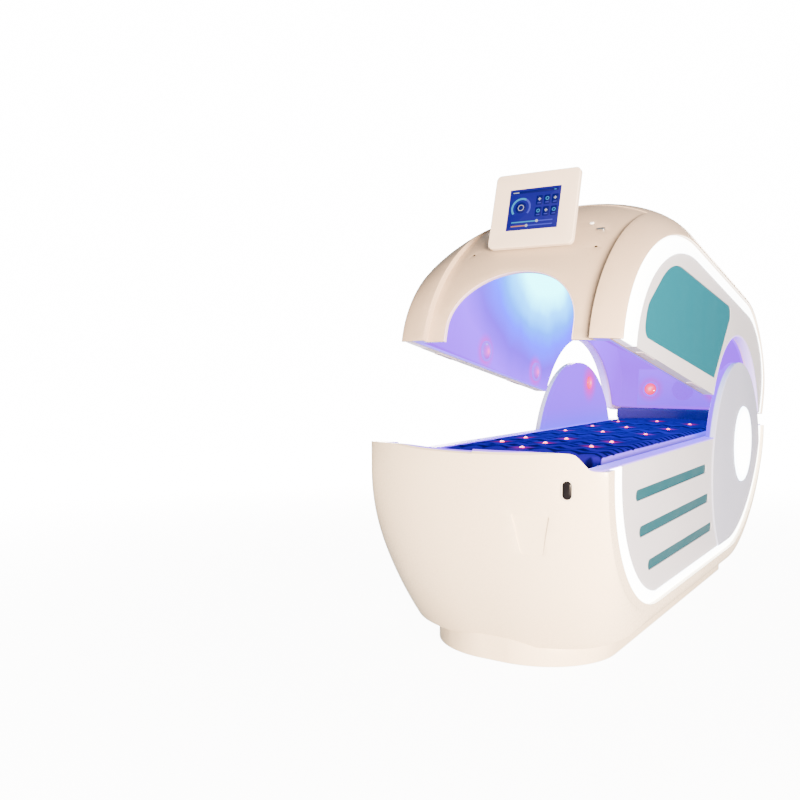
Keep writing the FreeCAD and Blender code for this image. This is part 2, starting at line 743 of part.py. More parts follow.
def bed_board():
    board = slab(rounded(bed_corners(0, BOARD_HALF), on_xy(BOARD_Z)), vec(0, 0, BOARD_THICK))
    low = LINER_FLOOR_Z + LINER_WALL
    wide = BATTEN_WIDE / 2
    battens = [box(-BATTEN_HALF, BATTEN_HALF, y - wide, y + wide, low, BOARD_Z) for y in BATTEN_YS]
    return less(joined([board] + battens), heater_block(0, 100))


def heater_block(inset, proud):
    """Block of the bed heater, let into the top of the board."""
    top = BOARD_Z + BOARD_THICK
    half = HEATER_HALF - inset
    long = HEATER_LONG - inset
    return box(-half, half, -long, long, top - HEATER_THICK, top + proud)


def bed_heater():
    return heater_block(FIT, 0)


def mat_top(x):
    """Height of the crowned mat at distance x from its middle line."""
    crown_r = (MAT_HALF ** 2 + MAT_CROWN ** 2) / (2 * MAT_CROWN)
    foot = BOARD_Z + BOARD_THICK + MAT_SIDE
    return foot + MAT_CROWN - crown_r + math.sqrt(crown_r ** 2 - x * x)


def bed_mat():
    """Crowned mat with drawn-in lower sides, channels across it and seats for the lights."""
    low = BOARD_Z + BOARD_THICK
    at = on_xz(-1000)
    foot = MAT_HALF - MAT_TUCK
    edge = MAT_HALF - MAT_ROUND
    waist = low + MAT_SIDE / 2
    edges = [
        Part.makeLine(at(-foot, low), at(foot, low)),
        Part.Arc(at(foot, low), at(MAT_HALF, waist), at(edge, mat_top(edge))).toShape(),
        Part.Arc(at(edge, mat_top(edge)), at(0, mat_top(0)), at(-edge, mat_top(edge))).toShape(),
        Part.Arc(at(-edge, mat_top(edge)), at(-MAT_HALF, waist), at(-foot, low)).toShape(),
    ]
    bar = slab(Part.Wire(edges), vec(0, 2000, 0))
    plan = slab(rounded(bed_corners(MAT_MARGIN, MAT_HALF + 5), on_xy(low - 5)), vec(0, 0, 100))
    mat = bar.common(plan)
    channels = [rod_x(-400, 400, y, mat_top(0) + CHANNEL_LIFT, CHANNEL_R) for y in CHANNEL_YS]
    seats = [rod_z(mat_top(x) - LIGHT_DEEP, 720, x, y, LIGHT_R) for x, y in light_spots()]
    return less(mat, channels + seats)


def light_spots():
    """Plan position of every light in the mat."""
    spots = [(0.0, y) for y in LIGHTS_MIDDLE]
    return spots + [(side * LIGHT_X, y) for y in LIGHTS_SIDE for side in (-1, 1)]


def mat_lights():
    lights = []
    for x, y in light_spots():
        low = mat_top(x) - LIGHT_DEEP
        post = rod_z(low, low + LIGHT_DEEP, x, y, LIGHT_R)
        dome = Part.makeSphere(1.25 * LIGHT_R, vec(x, y, low + LIGHT_DEEP - 0.75 * LIGHT_R))
        cap = dome.common(rod_z(low + LIGHT_DEEP, low + 30, x, y, LIGHT_R))
        lights.append(post.fuse(cap).removeSplitter())
    return Part.makeCompound(lights)


def slat_corners(z, y0, y1, grow):
    r = SLAT_TALL / 2 + grow - 0.01
    return ((y0 - grow, z - SLAT_TALL / 2 - grow, r), (y1 + grow, z - SLAT_TALL / 2 - grow, r),
            (y1 + grow, z + SLAT_TALL / 2 + grow, r), (y0 - grow, z + SLAT_TALL / 2 + grow, r))


def side_panel():
    """Tray-shaped panel in the base pocket, with slots and a round opening for the ear."""
    panel = outline_prism(base_inner_wire(POCKET_X, FIT), PANEL_OUT_X - POCKET_X)
    depth = PANEL_OUT_X - PANEL_PLATE - POCKET_X
    hollow = outline_prism(base_inner_wire(POCKET_X, FIT + PANEL_FLANGE), depth)
    ear = rod_x(300, 500, EAR_Y, EAR_Z, EAR_R + FIT)
    slots = [plate_x(slat_corners(z, y0, y1, 0), 300, 500) for z, y0, y1 in SLATS]
    rear = box(0, 600, EAR_Y, 1400, 0, 1200)
    return less(panel, [hollow, ear, rear, box(0, 600, -1400, 1400, RIM_Z, 1200)] + slots)


def vent_slats():
    back = PANEL_OUT_X - PANEL_PLATE
    slats = []
    for z, y0, y1 in SLATS:
        face = plate_x(slat_corners(z, y0, y1, -FIT), back, PANEL_OUT_X - SLAT_SINK)
        flange = plate_x(slat_corners(z, y0, y1, FLANGE_LAP), back - 5, back)
        slats.append(face.fuse(flange).removeSplitter())
    return Part.makeCompound(slats)


def light_ring(outer_wire, inner_wire, edge):
    """Light strip with a slanted face between an outer and an inner outline."""
    ring = outline_prism(outer_wire(POCKET_X), min(edge, LIGHT_FACE_X) - POCKET_X)
    if edge < LIGHT_FACE_X:
        ring = ring.fuse(Part.makeLoft([outer_wire(edge), inner_wire(LIGHT_FACE_X)], True, True))
    return less(ring.removeSplitter(), outline_prism(inner_wire(POCKET_X - 10), 100))


def base_light():
    def outer(x):
        grow = LIP + FIT
        front = -BASE_FRONT + FRONT_LIP + FIT
        return base_wire(x, front, BASE_REAR - grow, BASE_FLOOR + grow, -BASE_TOE, 1000)

    def inner(x):
        return base_inner_wire(x, 0)
    return less(light_ring(outer, inner, BASE_LIGHT_EDGE_X), box(0, 600, -1400, 1400, RIM_Z, 1200))


def lid_light():
    def outer(x):
        grow = LIP + FIT
        return lid_wire(x, -LID_FRONT + grow, LID_REAR - grow, LID_TOP - grow, 500)

    def inner(x):
        return lid_inner_wire(x, 0)
    return less(light_ring(outer, inner, LID_LIGHT_EDGE_X), lid_trimmers() + ear_clear(300, 500)[:1])


def ear():
    """Round ear that stands above the rim and closes the rear of the base pocket below it."""
    disc = rod_x(POCKET_X, EAR_OUT_X, EAR_Y, EAR_Z, EAR_R)
    tail = box(POCKET_X, PANEL_OUT_X, EAR_Y + FIT, 1400, 100, RIM_Z)
    disc = disc.fuse(tail).removeSplitter()
    disc = disc.common(outline_prism(base_inner_wire(POCKET_X - 5, FIT), 100))
    lamp = rod_x(EAR_OUT_X - LAMP_DEPTH, 500, LAMP_Y, LAMP_Z, LAMP_R)
    heater = rod_x(300, POCKET_X + 6, EAR_HEATER_Y, EAR_HEATER_Z, HEATER_R)
    return less(disc, [lamp, heater])


def ear_lamp():
    lens = rod_x(EAR_OUT_X - LAMP_DEPTH, EAR_OUT_X + LAMP_PROUD, LAMP_Y, LAMP_Z, LAMP_R - FIT)
    rim = [e for e in lens.Edges if abs(e.BoundBox.XMin - EAR_OUT_X - LAMP_PROUD) < 0.01]
    return lens.makeFillet(LAMP_PROUD - 0.5, rim[:1])


def ear_heater():
    body = rod_x(POCKET_X - 4, POCKET_X + 6, EAR_HEATER_Y, EAR_HEATER_Z, HEATER_R - FIT)
    rim = [e for e in body.Edges if abs(e.BoundBox.XMax - POCKET_X + 4) < 0.01]
    return body.makeFillet(3, rim[:1])


def with_visor(body, half):
    """Body of the lid with the middle of its front leaned back about the line across the top."""
    axis_y, axis_z = visor_axis()
    sunken = body.copy()
    sunken.rotate(vec(0, axis_y, axis_z), vec(1, 0, 0), VISOR_TURN)
    front = box(-half, half, -1200, axis_y, 500, 1400)
    return less(body, less(front, sunken))


def lid_skin():
    return with_visor(skin(lid_section, 0, LID_SIDE_X, 560), VISOR_HALF)


def lid_cavity():
    return with_visor(skin(lid_section, WALL, CAVITY_X, 540), VISOR_HALF + WALL)


def lid_shell(body):
    """Moulded lid with its cavity, side pockets, ear cut-outs and arched front."""
    pocket = lid_pocket()
    tools = [lid_cavity(), pocket, mirrored(pocket), arch_prism(0)] + lid_trimmers() + ear_clear(300, 500)
    return less(body, tools)


def lid_cabin():
    """Space inside the lid's liner."""
    return skin(lid_section, LID_LINER_GAP + LID_LINER_WALL, LID_LINER_X - LID_LINER_WALL, 540)


def arch_trim(body):
    """Band that lines the arch from the outer skin back to the liner."""
    band = less(arch_prism(0), arch_prism(LID_LINER_WALL))
    inner = lid_cabin()
    return less(band.common(body), [inner] + lid_trimmers())


def lid_liner():
    outer = skin(lid_section, LID_LINER_GAP, LID_LINER_X, 560)
    inner = lid_cabin()
    low = box(-600, 600, -1400, 1400, 400, LID_EDGE_Z + SILL)
    rear = box(-600, 600, LID_REAR_EDGE_Y, 1400, 400, LID_REAR_EDGE_Z + 14)
    return less(outer, [inner, low, rear, arch_prism(0)] + ear_clear(300, 500))


def lid_sill():
    """Strip under the lid that closes the space between shell and liner."""
    strip = lid_cavity().common(box(-600, 600, -1400, SILL_REAR, LID_EDGE_Z, LID_EDGE_Z + SILL))
    return less(strip, [lid_cabin(), arch_prism(0)] + ear_clear(300, 500))


def window_corners(grow):
    """Window outline moved out by grow."""
    middle_y = sum(c[0] for c in WINDOW) / len(WINDOW)
    middle_z = sum(c[1] for c in WINDOW) / len(WINDOW)
    moved = []
    for y, z, r in WINDOW:
        away = vec(y - middle_y, z - middle_z, 0)
        away.normalize()
        moved.append((y + away.x * 1.3 * grow, z + away.y * 1.3 * grow, r + grow))
    return moved


def lid_panel():
    panel = outline_prism(lid_inner_wire(POCKET_X, FIT), PANEL_OUT_X - POCKET_X)
    depth = PANEL_OUT_X - PANEL_PLATE - POCKET_X
    hollow = outline_prism(lid_inner_wire(POCKET_X, FIT + PANEL_FLANGE), depth)
    hollow = less(hollow, [box(0, 600, -1400, 1400, 400, LID_EDGE_Z + PANEL_FLANGE),
                           rod_x(300, 500, EAR_Y, EAR_Z, EAR_R + EAR_GAP + EAR_FLANGE)])
    window = plate_x(window_corners(0), 300, 500)
    return less(panel, [hollow, window] + lid_trimmers() + ear_clear(300, 500)[:1])


def window():
    back = PANEL_OUT_X - PANEL_PLATE
    face = plate_x(window_corners(-FIT), back, PANEL_OUT_X - WINDOW_SINK)
    flange = plate_x(window_corners(FLANGE_LAP), back - 5, back)
    return face.fuse(flange).removeSplitter()


def lid_pads():
    pads = []
    for y in PAD_YS:
        low = LID_EDGE_Z - PAD_TALL
        pad = box(POCKET_X + 5, PANEL_OUT_X - 4, y - PAD_LONG / 2, y + PAD_LONG / 2, low, LID_EDGE_Z)
        pads += [pad, mirrored(pad)]
    return Part.makeCompound(pads)


def lamp_spots():
    """Place of each infrared lamp: a point on the wall and the direction into the cabin."""
    inner = LID_LINER_X - LID_LINER_WALL
    spots = [(vec(inner, y, LAMP_SIDE_Z), vec(-1, 0, 0)) for y in LAMP_SIDE_YS]
    spots += [(vec(-inner, y, LAMP_SIDE_Z), vec(1, 0, 0)) for y in LAMP_SIDE_YS]
    spots += [(vec(x, CONSOLE_Y, LAMP_REAR_Z), vec(0, -1, 0)) for x in (-LAMP_REAR_X, LAMP_REAR_X)]
    return spots


def lamp_rings():
    rings = []
    for point, way in lamp_spots():
        ring = Part.makeCylinder(IR_RING_R, IR_RING_PROUD, point, way)
        rings.append(ring.cut(Part.makeCylinder(IR_LENS_R, 40, point, way)))
    return Part.makeCompound(rings)


def infrared_lamps():
    lenses = []
    for point, way in lamp_spots():
        lens = Part.makeCylinder(IR_LENS_R - FIT, IR_RING_PROUD - 2, point, way)
        ball_r = 60.0
        depth = ball_r - math.sqrt(ball_r ** 2 - (IR_LENS_R - FIT) ** 2)
        centre = point.add(vec(way.x, way.y, way.z).multiply(IR_RING_PROUD - 2 + depth - ball_r))
        cap = Part.makeSphere(ball_r, centre)
        cap = cap.common(Part.makeCylinder(IR_LENS_R - FIT, 40, point, way))
        lenses.append(lens.fuse(cap).removeSplitter())
    return Part.makeCompound(lenses)


def rear_console():
    inner = lid_cabin()
    foot = LAMP_REAR_Z - CONSOLE_BELOW
    head = LAMP_REAR_Z + CONSOLE_ABOVE
    block = box(-CONSOLE_HALF, CONSOLE_HALF, CONSOLE_Y, 1300, foot, head).common(inner)
    return less(block, rod_y(CONSOLE_Y - 5, CONSOLE_Y + 4, 0, LAMP_REAR_Z, SPEAKER_R))


def speaker_grille():
    disc = rod_y(CONSOLE_Y - 1, CONSOLE_Y + 4, 0, LAMP_REAR_Z, SPEAKER_R - FIT)
    holes = [rod_y(CONSOLE_Y - 5, CONSOLE_Y + 2, 0, LAMP_REAR_Z, 3)]
    for ring in range(1, 4):
        for step in range(6 * ring):
            angle = math.pi * step / (3 * ring)
            radius = 14.0 * ring
            holes.append(rod_y(CONSOLE_Y - 5, CONSOLE_Y + 2, radius * math.cos(angle),
                               LAMP_REAR_Z + radius * math.sin(angle), 3))
    return less(disc, holes)


def ceiling_light():
    """Light bar under the liner's crown."""
    inner = lid_cabin()
    lower = skin(lid_section, LID_LINER_GAP + LID_LINER_WALL + CEILING_DEEP, LID_LINER_X - 30, 540)
    bar = box(-CEILING_HALF, CEILING_HALF, CEILING_Y, CEILING_Y + CEILING_WIDE, 900, 1400)
    return less(bar.common(inner), lower)


def arm_plate(x0, x1, corners):
    """Plate from the hinge to the lid's rear wall, with a band between shell and liner."""
    band = less(skin(lid_section, WALL, CAVITY_X, 560), skin(lid_section, LID_LINER_GAP, LID_LINER_X, 540))
    band = band.common(box(x0, x1, 900, 1300, LID_REAR_EDGE_Z + 15, 880))
    return joined([band, plate_x(corners, x0, x1)])


def arm_root():
    return ((HINGE_Y + EYE_R - 1, HINGE_Z - 4, 0), (HINGE_Y + 56, LID_REAR_EDGE_Z + 4, 0),
            (HINGE_Y + 55, LID_REAR_EDGE_Z + 25, 0), (HINGE_Y + 42, LID_REAR_EDGE_Z + 25, 0),
            (HINGE_Y - EYE_R + 4, HINGE_Z + 10, 0))


def hinge_arms():
    x0 = ARM_X - ARM_THICK / 2
    x1 = ARM_X + ARM_THICK / 2
    arm = joined([arm_plate(x0, x1, arm_root()), rod_x(x0, x1, HINGE_Y, HINGE_Z, EYE_R)])
    arm = less(arm, rod_x(x0 - 5, x1 + 5, HINGE_Y, HINGE_Z, PIN_R + RUN_FIT))
    return both(arm)


def lift_lever():
    half = ARM_THICK / 2
    low = HINGE_Z - LEVER_LENGTH
    shank = plate_x(((HINGE_Y - LEVER_HALF, low, 0), (HINGE_Y + LEVER_HALF, low, 0),
                     (HINGE_Y + EYE_R, HINGE_Z + 10, 0), (HINGE_Y - EYE_R, HINGE_Z + 10, 0)), -half, half)
    eye = rod_x(-half, half, HINGE_Y, low, LEVER_EYE_R)
    lever = joined([arm_plate(-half, half, arm_root()), shank, eye])
    return less(lever, rod_x(-20, 20, HINGE_Y, low, CRANK_PIN_R))


def crank_pin():
    y, z = HINGE_Y, HINGE_Z - LEVER_LENGTH
    half = ARM_THICK / 2
    head = rod_x(-half - 4, -half, y, z, CRANK_PIN_R + 3)
    return joined([rod_x(-half, ROD_X + ROD_EDGE, y, z, CRANK_PIN_R), head])


def hinge_brackets():
    """Two cheeks on a foot at each side of the hinge arm."""
    gap = ARM_THICK / 2 + FIT
    low = LINER_FLOOR_Z
    front = HINGE_Y - BRACKET_FRONT
    rear = HINGE_Y + BRACKET_REAR
    foot = box(ARM_X - BRACKET_HALF, ARM_X + BRACKET_HALF, front, rear, low, low + BRACKET_FOOT)
    cheeks = []
    for x in (ARM_X - gap - CHEEK_THICK, ARM_X + gap):
        corners = ((front + 4, low, 0), (rear, low, 0), (HINGE_Y + EYE_R - 1, HINGE_Z, 0),
                   (HINGE_Y - EYE_R + 1, HINGE_Z, 0))
        cheeks.append(plate_x(corners, x, x + CHEEK_THICK))
        cheeks.append(rod_x(x, x + CHEEK_THICK, HINGE_Y, HINGE_Z, EYE_R))
    bracket = joined([foot] + cheeks)
    bracket = less(bracket, rod_x(ARM_X - 60, ARM_X + 60, HINGE_Y, HINGE_Z, PIN_R))
    return both(bracket)


def hinge_pins():
    reach = ARM_THICK / 2 + FIT + CHEEK_THICK
    pin = rod_x(ARM_X - reach, ARM_X + reach, HINGE_Y, HINGE_Z, PIN_R)
    heads = [rod_x(ARM_X - reach - 4, ARM_X - reach, HINGE_Y, HINGE_Z, PIN_R + 4),
             rod_x(ARM_X + reach, ARM_X + reach + 4, HINGE_Y, HINGE_Z, PIN_R + 4)]
    return both(joined([pin] + heads))


def lever_end(angle):
    """Y and Z of the lever's pin with the lid at an angle above shut."""
    turn = math.radians(angle)
    return HINGE_Y - LEVER_LENGTH * math.sin(turn), HINGE_Z - LEVER_LENGTH * math.cos(turn)


def actuator_rod():
    """Rod with a slotted end plate that takes the lever's pin."""
    y, _ = lever_end(LID_OPEN)
    low = lever_end(0)[1] - CRANK_PIN_R - SLOT_PLAY
    high = lever_end(LID_TRAVEL)[1] + CRANK_PIN_R + SLOT_PLAY
    half = CRANK_PIN_R + SLOT_PLAY
    rim = half + ROD_EDGE
    thick = ROD_PLATE / 2
    plate = box(ROD_X - thick, ROD_X + thick, y - rim, y + rim, low - ROD_EDGE, high + ROD_EDGE)
    slot = box(ROD_X - 20, ROD_X + 20, y - half, y + half, low, high)
    shaft = rod_y(ROD_FRONT_Y, y - half - 4, ROD_X, ROD_Z, ROD_R)
    return less(joined([shaft, plate]), slot)


def lift_actuator():
    tube = rod_y(TUBE_FRONT_Y, TUBE_REAR_Y, ROD_X, ROD_Z, TUBE_R)
    top = LINER_FLOOR_Z - 2
    side = ROD_X - MOTOR_X
    gear = box(ROD_X - GEAR_HALF, ROD_X + GEAR_HALF, TUBE_FRONT_Y - GEAR_LONG, TUBE_FRONT_Y, CROSS_TOP_Z, top)
    motor = rod_y(TUBE_FRONT_Y, TUBE_FRONT_Y + MOTOR_LONG, side, ROD_Z - 8, MOTOR_R)
    bridge = box(side - MOTOR_R, ROD_X, TUBE_FRONT_Y - 60, TUBE_FRONT_Y, CROSS_TOP_Z, top - 4)
    bore = rod_y(TUBE_FRONT_Y, TUBE_REAR_Y + 10, ROD_X, ROD_Z, ROD_R + RUN_FIT)
    return less(joined([tube, gear, motor, bridge]), bore)


def display_place():
    """Placement of the display: local x across, local y up its face, local z out of its front."""
    return facing(0, DISPLAY_Y, DISPLAY_Z, 0, DISPLAY_LEAN)


def display_case():
    half = DISPLAY_WIDE / 2
    r = DISPLAY_CORNER
    corners = ((-half, 0, r), (half, 0, r), (half, DISPLAY_TALL, r), (-half, DISPLAY_TALL, r))
    case = slab(rounded(corners, on_xy(-DISPLAY_THICK)), vec(0, 0, DISPLAY_THICK))
    rim = [e for e in case.Edges if abs(e.BoundBox.ZMin) < 0.01 and abs(e.BoundBox.ZMax) < 0.01]
    case = case.makeFillet(4, rim)
    mid = DISPLAY_TALL / 2
    case = less(case, box(-SCREEN_WIDE / 2, SCREEN_WIDE / 2, mid - SCREEN_TALL / 2, mid + SCREEN_TALL / 2,
                          -SCREEN_THICK - 0.5, 10))
    case = placed(case, display_place())
    inner = PEDESTAL_HALF + FIT
    lug = rod_x(inner, inner + LUG_THICK, TILT_Y, TILT_Z, TILT_R)
    root = box(inner, inner + LUG_THICK, TILT_Y - LUG_REACH, TILT_Y, TILT_Z - TILT_R, TILT_Z + TILT_R)
    lugs = [lug, root, mirrored(lug), mirrored(root)]
    hole = rod_x(-80, 80, TILT_Y, TILT_Z, TILT_PIN_R)
    return less(joined([case] + lugs), hole)


def display_screen():
    mid = DISPLAY_TALL / 2
    half = SCREEN_WIDE / 2 - 0.3
    tall = SCREEN_TALL / 2 - 0.3
    glass = box(-half, half, mid - tall, mid + tall, -SCREEN_THICK - 0.5, -0.5)
    return placed(glass, display_place())


def display_pivot():
    reach = PEDESTAL_HALF + FIT + LUG_THICK
    pin = rod_x(-reach, reach, TILT_Y, TILT_Z, TILT_PIN_R)
    heads = [rod_x(reach, reach + 3, TILT_Y, TILT_Z, TILT_PIN_R + 3)]
    heads.append(mirrored(heads[0]))
    return joined([pin] + heads)


def display_pedestal(body):
    """Arm from the visor to the display's pivot."""
    rear = TILT_Y + PEDESTAL_RUN
    low = TILT_Z - PEDESTAL_DROP
    corners = ((TILT_Y, TILT_Z + TILT_R, 0), (rear, TILT_Z + 30, 0), (rear, low, 0),
               (TILT_Y + 30, low, 0), (TILT_Y, TILT_Z - TILT_R, 0))
    arm = plate_x(corners, -PEDESTAL_HALF, PEDESTAL_HALF)
    head = rod_x(-PEDESTAL_HALF, PEDESTAL_HALF, TILT_Y, TILT_Z, TILT_R)
    hole = rod_x(-80, 80, TILT_Y, TILT_Z, TILT_PIN_R + RUN_FIT)
    return less(joined([arm, head]), [body, hole])


def screw_holes():
    hole = placed(rod_z(-30, 30, 0, 0, SCREW_R), sunk(SCREW_X, SCREW_Z))
    return [hole, mirrored(hole)]


def lid_button_hole(grow, z0, z1):
    outline = stadium(LID_BUTTON_WIDE + 2 * grow, LID_BUTTON_TALL + 2 * grow, z0, z1)
    return placed(outline, sunk(LID_BUTTON_X, LID_BUTTON_Z))


def status_hole(z0, z1):
    return placed(rod_z(z0, z1, 0, 0, STATUS_R), sunk(STATUS_X, STATUS_Z))


def button_bezel():
    """Ring in the bowl with a flange outside and a closed back that the button springs against."""
    wide = BUTTON_WIDE + 2 * FIT
    tall = BUTTON_TALL + 2 * FIT
    flange = stadium(wide + 2 * BEZEL_RIM - 1, tall + 2 * BEZEL_RIM - 1, -2, 2)
    body = stadium(wide + 4, tall + 4, -26, -2)
    return placed(less(flange.fuse(body), stadium(wide, tall, -23, 10)), button_place())


def power_button():
    return placed(stadium(BUTTON_WIDE, BUTTON_TALL, -14, 4), button_place())


def lid_button():
    return lid_button_hole(0, -5, 4)


def build():
    under = skin(base_section, -FIT, BASE_SIDE_X, 720)
    body = lid_skin()
    shell = lid_shell(body)
    screws = Part.makeCompound([hole.common(shell) for hole in screw_holes()])
    status = status_hole(-30, 30).common(shell).fuse(status_hole(-2, 2)).removeSplitter()
    shell = less(shell, screw_holes() + [lid_button_hole(FIT, -40, 40), status])
    right = {"side_panel": side_panel(), "vent_slats": vent_slats(), "base_light": base_light(),
             "ear": ear(), "ear_lamp": ear_lamp()}
    lid_right = {"lid_panel": lid_panel(), "window": window(), "lid_light": lid_light()}
    nodes = {
        "base_shell": base_shell(), "plinth_skirt": plinth_skirt(under), "plinth_frame": plinth_frame(under),
        "levelling_feet": levelling_feet(), "power_inlet": power_inlet(), "tub_liner": tub_liner(),
        "rim_trim": rim_trim(), "foot_board": foot_board(), "bed_frame": bed_frame(),
        "control_unit": control_unit(), "bed_board": bed_board(), "bed_heater": bed_heater(),
        "bed_mat": bed_mat(), "mat_lights": mat_lights(), "ear_heaters": both(ear_heater()),
        "hinge_brackets": hinge_brackets(), "hinge_pins": hinge_pins(), "lift_actuator": lift_actuator(),
        "actuator_rod": actuator_rod(), "button_bezel": button_bezel(), "power_button": power_button(),
    }
    lid_nodes = {
        "lid_shell": shell, "arch_trim": arch_trim(body), "lid_liner": lid_liner(), "lid_sill": lid_sill(),
        "lid_pads": lid_pads(), "lamp_rings": lamp_rings(), "infrared_lamps": infrared_lamps(),
        "rear_console": rear_console(), "speaker_grille": speaker_grille(), "ceiling_light": ceiling_light(),
        "hinge_arms": hinge_arms(), "lift_lever": lift_lever(), "crank_pin": crank_pin(),
        "display_pedestal": display_pedestal(body), "display_case": display_case(),
        "display_screen": display_screen(), "display_pivot": display_pivot(), "visor_screws": screws,
        "lid_button": lid_button(), "status_light": status,
    }
    for name, shape in right.items():
        nodes[name + "_right"] = shape
        nodes[name + "_left"] = mirrored(shape)
    for name, shape in lid_right.items():
        lid_nodes[name + "_right"] = shape
        lid_nodes[name + "_left"] = mirrored(shape)
    for name, shape in lid_nodes.items():
        nodes[name] = opened(shape)
    return nodes


os.makedirs("parts", exist_ok=True)
for node, solid in build().items():
    solid.translate(vec(0, -ORIGIN_Y, 0))
    solid.exportStep("parts/" + node + ".step")
    span = solid.BoundBox
    print(node, solid.isValid(), len(solid.Solids), "%.0f cm3" % (solid.Volume / 1000),
          "x %.0f %.0f" % (span.XMin, span.XMax), "y %.0f %.0f" % (span.YMin, span.YMax),
          "z %.0f %.0f" % (span.ZMin, span.ZMax))
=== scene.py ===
import logging
import math
from dataclasses import dataclass, field
from enum import Enum
from functools import partial
from typing import Any, Callable, Dict, List, Optional, Sequence, Tuple

import bmesh
import bpy
import numpy as np
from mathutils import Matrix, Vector


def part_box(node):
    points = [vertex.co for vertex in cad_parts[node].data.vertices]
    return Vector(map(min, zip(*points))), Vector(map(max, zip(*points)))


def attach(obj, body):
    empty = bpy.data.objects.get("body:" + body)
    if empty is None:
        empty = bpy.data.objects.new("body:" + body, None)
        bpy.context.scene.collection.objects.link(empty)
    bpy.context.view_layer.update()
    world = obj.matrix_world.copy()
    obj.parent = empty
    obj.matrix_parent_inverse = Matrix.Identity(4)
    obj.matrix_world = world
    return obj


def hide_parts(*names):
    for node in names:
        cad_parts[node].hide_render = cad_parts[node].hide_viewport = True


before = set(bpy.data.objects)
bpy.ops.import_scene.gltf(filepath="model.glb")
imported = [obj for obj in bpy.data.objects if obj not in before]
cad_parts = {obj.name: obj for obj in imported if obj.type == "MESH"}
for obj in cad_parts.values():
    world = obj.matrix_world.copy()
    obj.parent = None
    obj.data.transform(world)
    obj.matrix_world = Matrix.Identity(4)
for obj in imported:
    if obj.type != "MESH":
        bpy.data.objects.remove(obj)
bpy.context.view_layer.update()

# Looks of the infrared sauna capsule, in metres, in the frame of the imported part.

LOG = logging.getLogger("capsule")
MM = 0.001
Pair = Tuple[float, float]
Triple = Tuple[float, float, float]
Stop = Tuple[float, str]
Adder = Callable[..., Any]

# Cloth steps of a padded cover, lens grid, and how far an edge turns before it is rounded.
SWELL_FRAMES = 20
LENS_STEPS = 13
LENS_SIDES = 32
SHARP_DEG = 35.0
FLAT_DEG = 0.4
WELD = 1e-5


class Body(Enum):
    """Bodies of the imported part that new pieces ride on."""

    BASE = "base"
    LID = "lid"
    DISPLAY = "display"
    POWER = "power_button"


class Edge(Enum):
    """How round a moulded or cut edge is, as a bevel width in millimetres."""

    CUT = 0.5
    CRISP = 1.0
    MOULDED = 2.5
    SOFT = 5.0


def linear(code: str) -> Tuple[float, float, float, float]:
    """Turns an sRGB hex colour to linear light.

    Args:
        code: Six hex digits after a hash sign.

    Returns:
        Linear red, green and blue, and full opacity.
    """
    parts = np.array([int(code[i:i + 2], 16) for i in (1, 3, 5)]) / 255.0
    low = parts / 12.92
    high = ((parts + 0.055) / 1.055) ** 2.4
    red, green, blue = np.where(parts <= 0.04045, low, high).tolist()
    return red, green, blue, 1.0


def add_node(tree: bpy.types.NodeTree, kind: str, values: Dict[Any, Any], out: Any = 0) -> Any:
    """Adds a shader node with its settings and links.

    Args:
        tree: Node tree that gets the node.
        kind: Blender's name of the node type, without its first word.
        values: By socket name, socket number or property name, a constant, a hex colour or the
            output that feeds it; "stops" holds a ramp's colours.
        out: Name or number of the output that is handed back.

    Returns:
        That output, or none where the node has no outputs.
    """
    node = tree.nodes.new("ShaderNode" + kind)
    for key, value in values.items():
        if key == "stops":
            ramp = node.color_ramp.elements
            while len(ramp) < len(value):
                ramp.new(0.5)
            for element, (place, code) in zip(ramp, value):
                element.position = place
                element.color = linear(code)
        elif isinstance(key, str) and key not in node.inputs:
            setattr(node, key, value)
        elif isinstance(value, bpy.types.NodeSocket):
            tree.links.new(value, node.inputs[key])
        else:
            node.inputs[key].default_value = linear(value) if isinstance(value, str) else value
    return node.outputs[out] if len(node.outputs) else None


def axis_distance(add: Adder, place: Any, axis: Pair) -> Any:
    """Adds the nodes that measure how far a place is from an axis across the capsule.

    Args:
        add: Adds a node to the finish's tree.
        place: Output with the place.
        axis: The axis's y and z.

    Returns:
        Output with the distance.
    """
    parts = add("SeparateXYZ", {0: place}).node.outputs
    flat = add("CombineXYZ", {1: parts[1], 2: parts[2]})
    return add("VectorMath", {"operation": "DISTANCE", 0: flat, 1: (0.0, *axis)}, "Value")


@dataclass(frozen=True)
class Finish:
    """A named surface finish: what the real material is, and the nodes that show it."""

    name: str

    def make(self) -> bpy.types.Material:
        """Makes the material of this finish once.

        Returns:
            The material, new or from an earlier call.
        """
        material = bpy.data.materials.get(self.name)
        if material is None:
            material = bpy.data.materials.new(self.name)
            material.use_nodes = True
            material.node_tree.nodes.clear()
            add = partial(add_node, material.node_tree)
            add("OutputMaterial", {"Surface": add("BsdfPrincipled", self.paint(add))})
        return material

    def paint(self, add: Adder) -> Dict[str, Any]:
        """Adds the finish's own nodes; each kind of finish has its own.

        Args:
            add: Adds a node to the finish's tree.

        Returns:
            By name of the shader's socket, a constant, a hex colour or the output that feeds it.
        """
        raise NotImplementedError


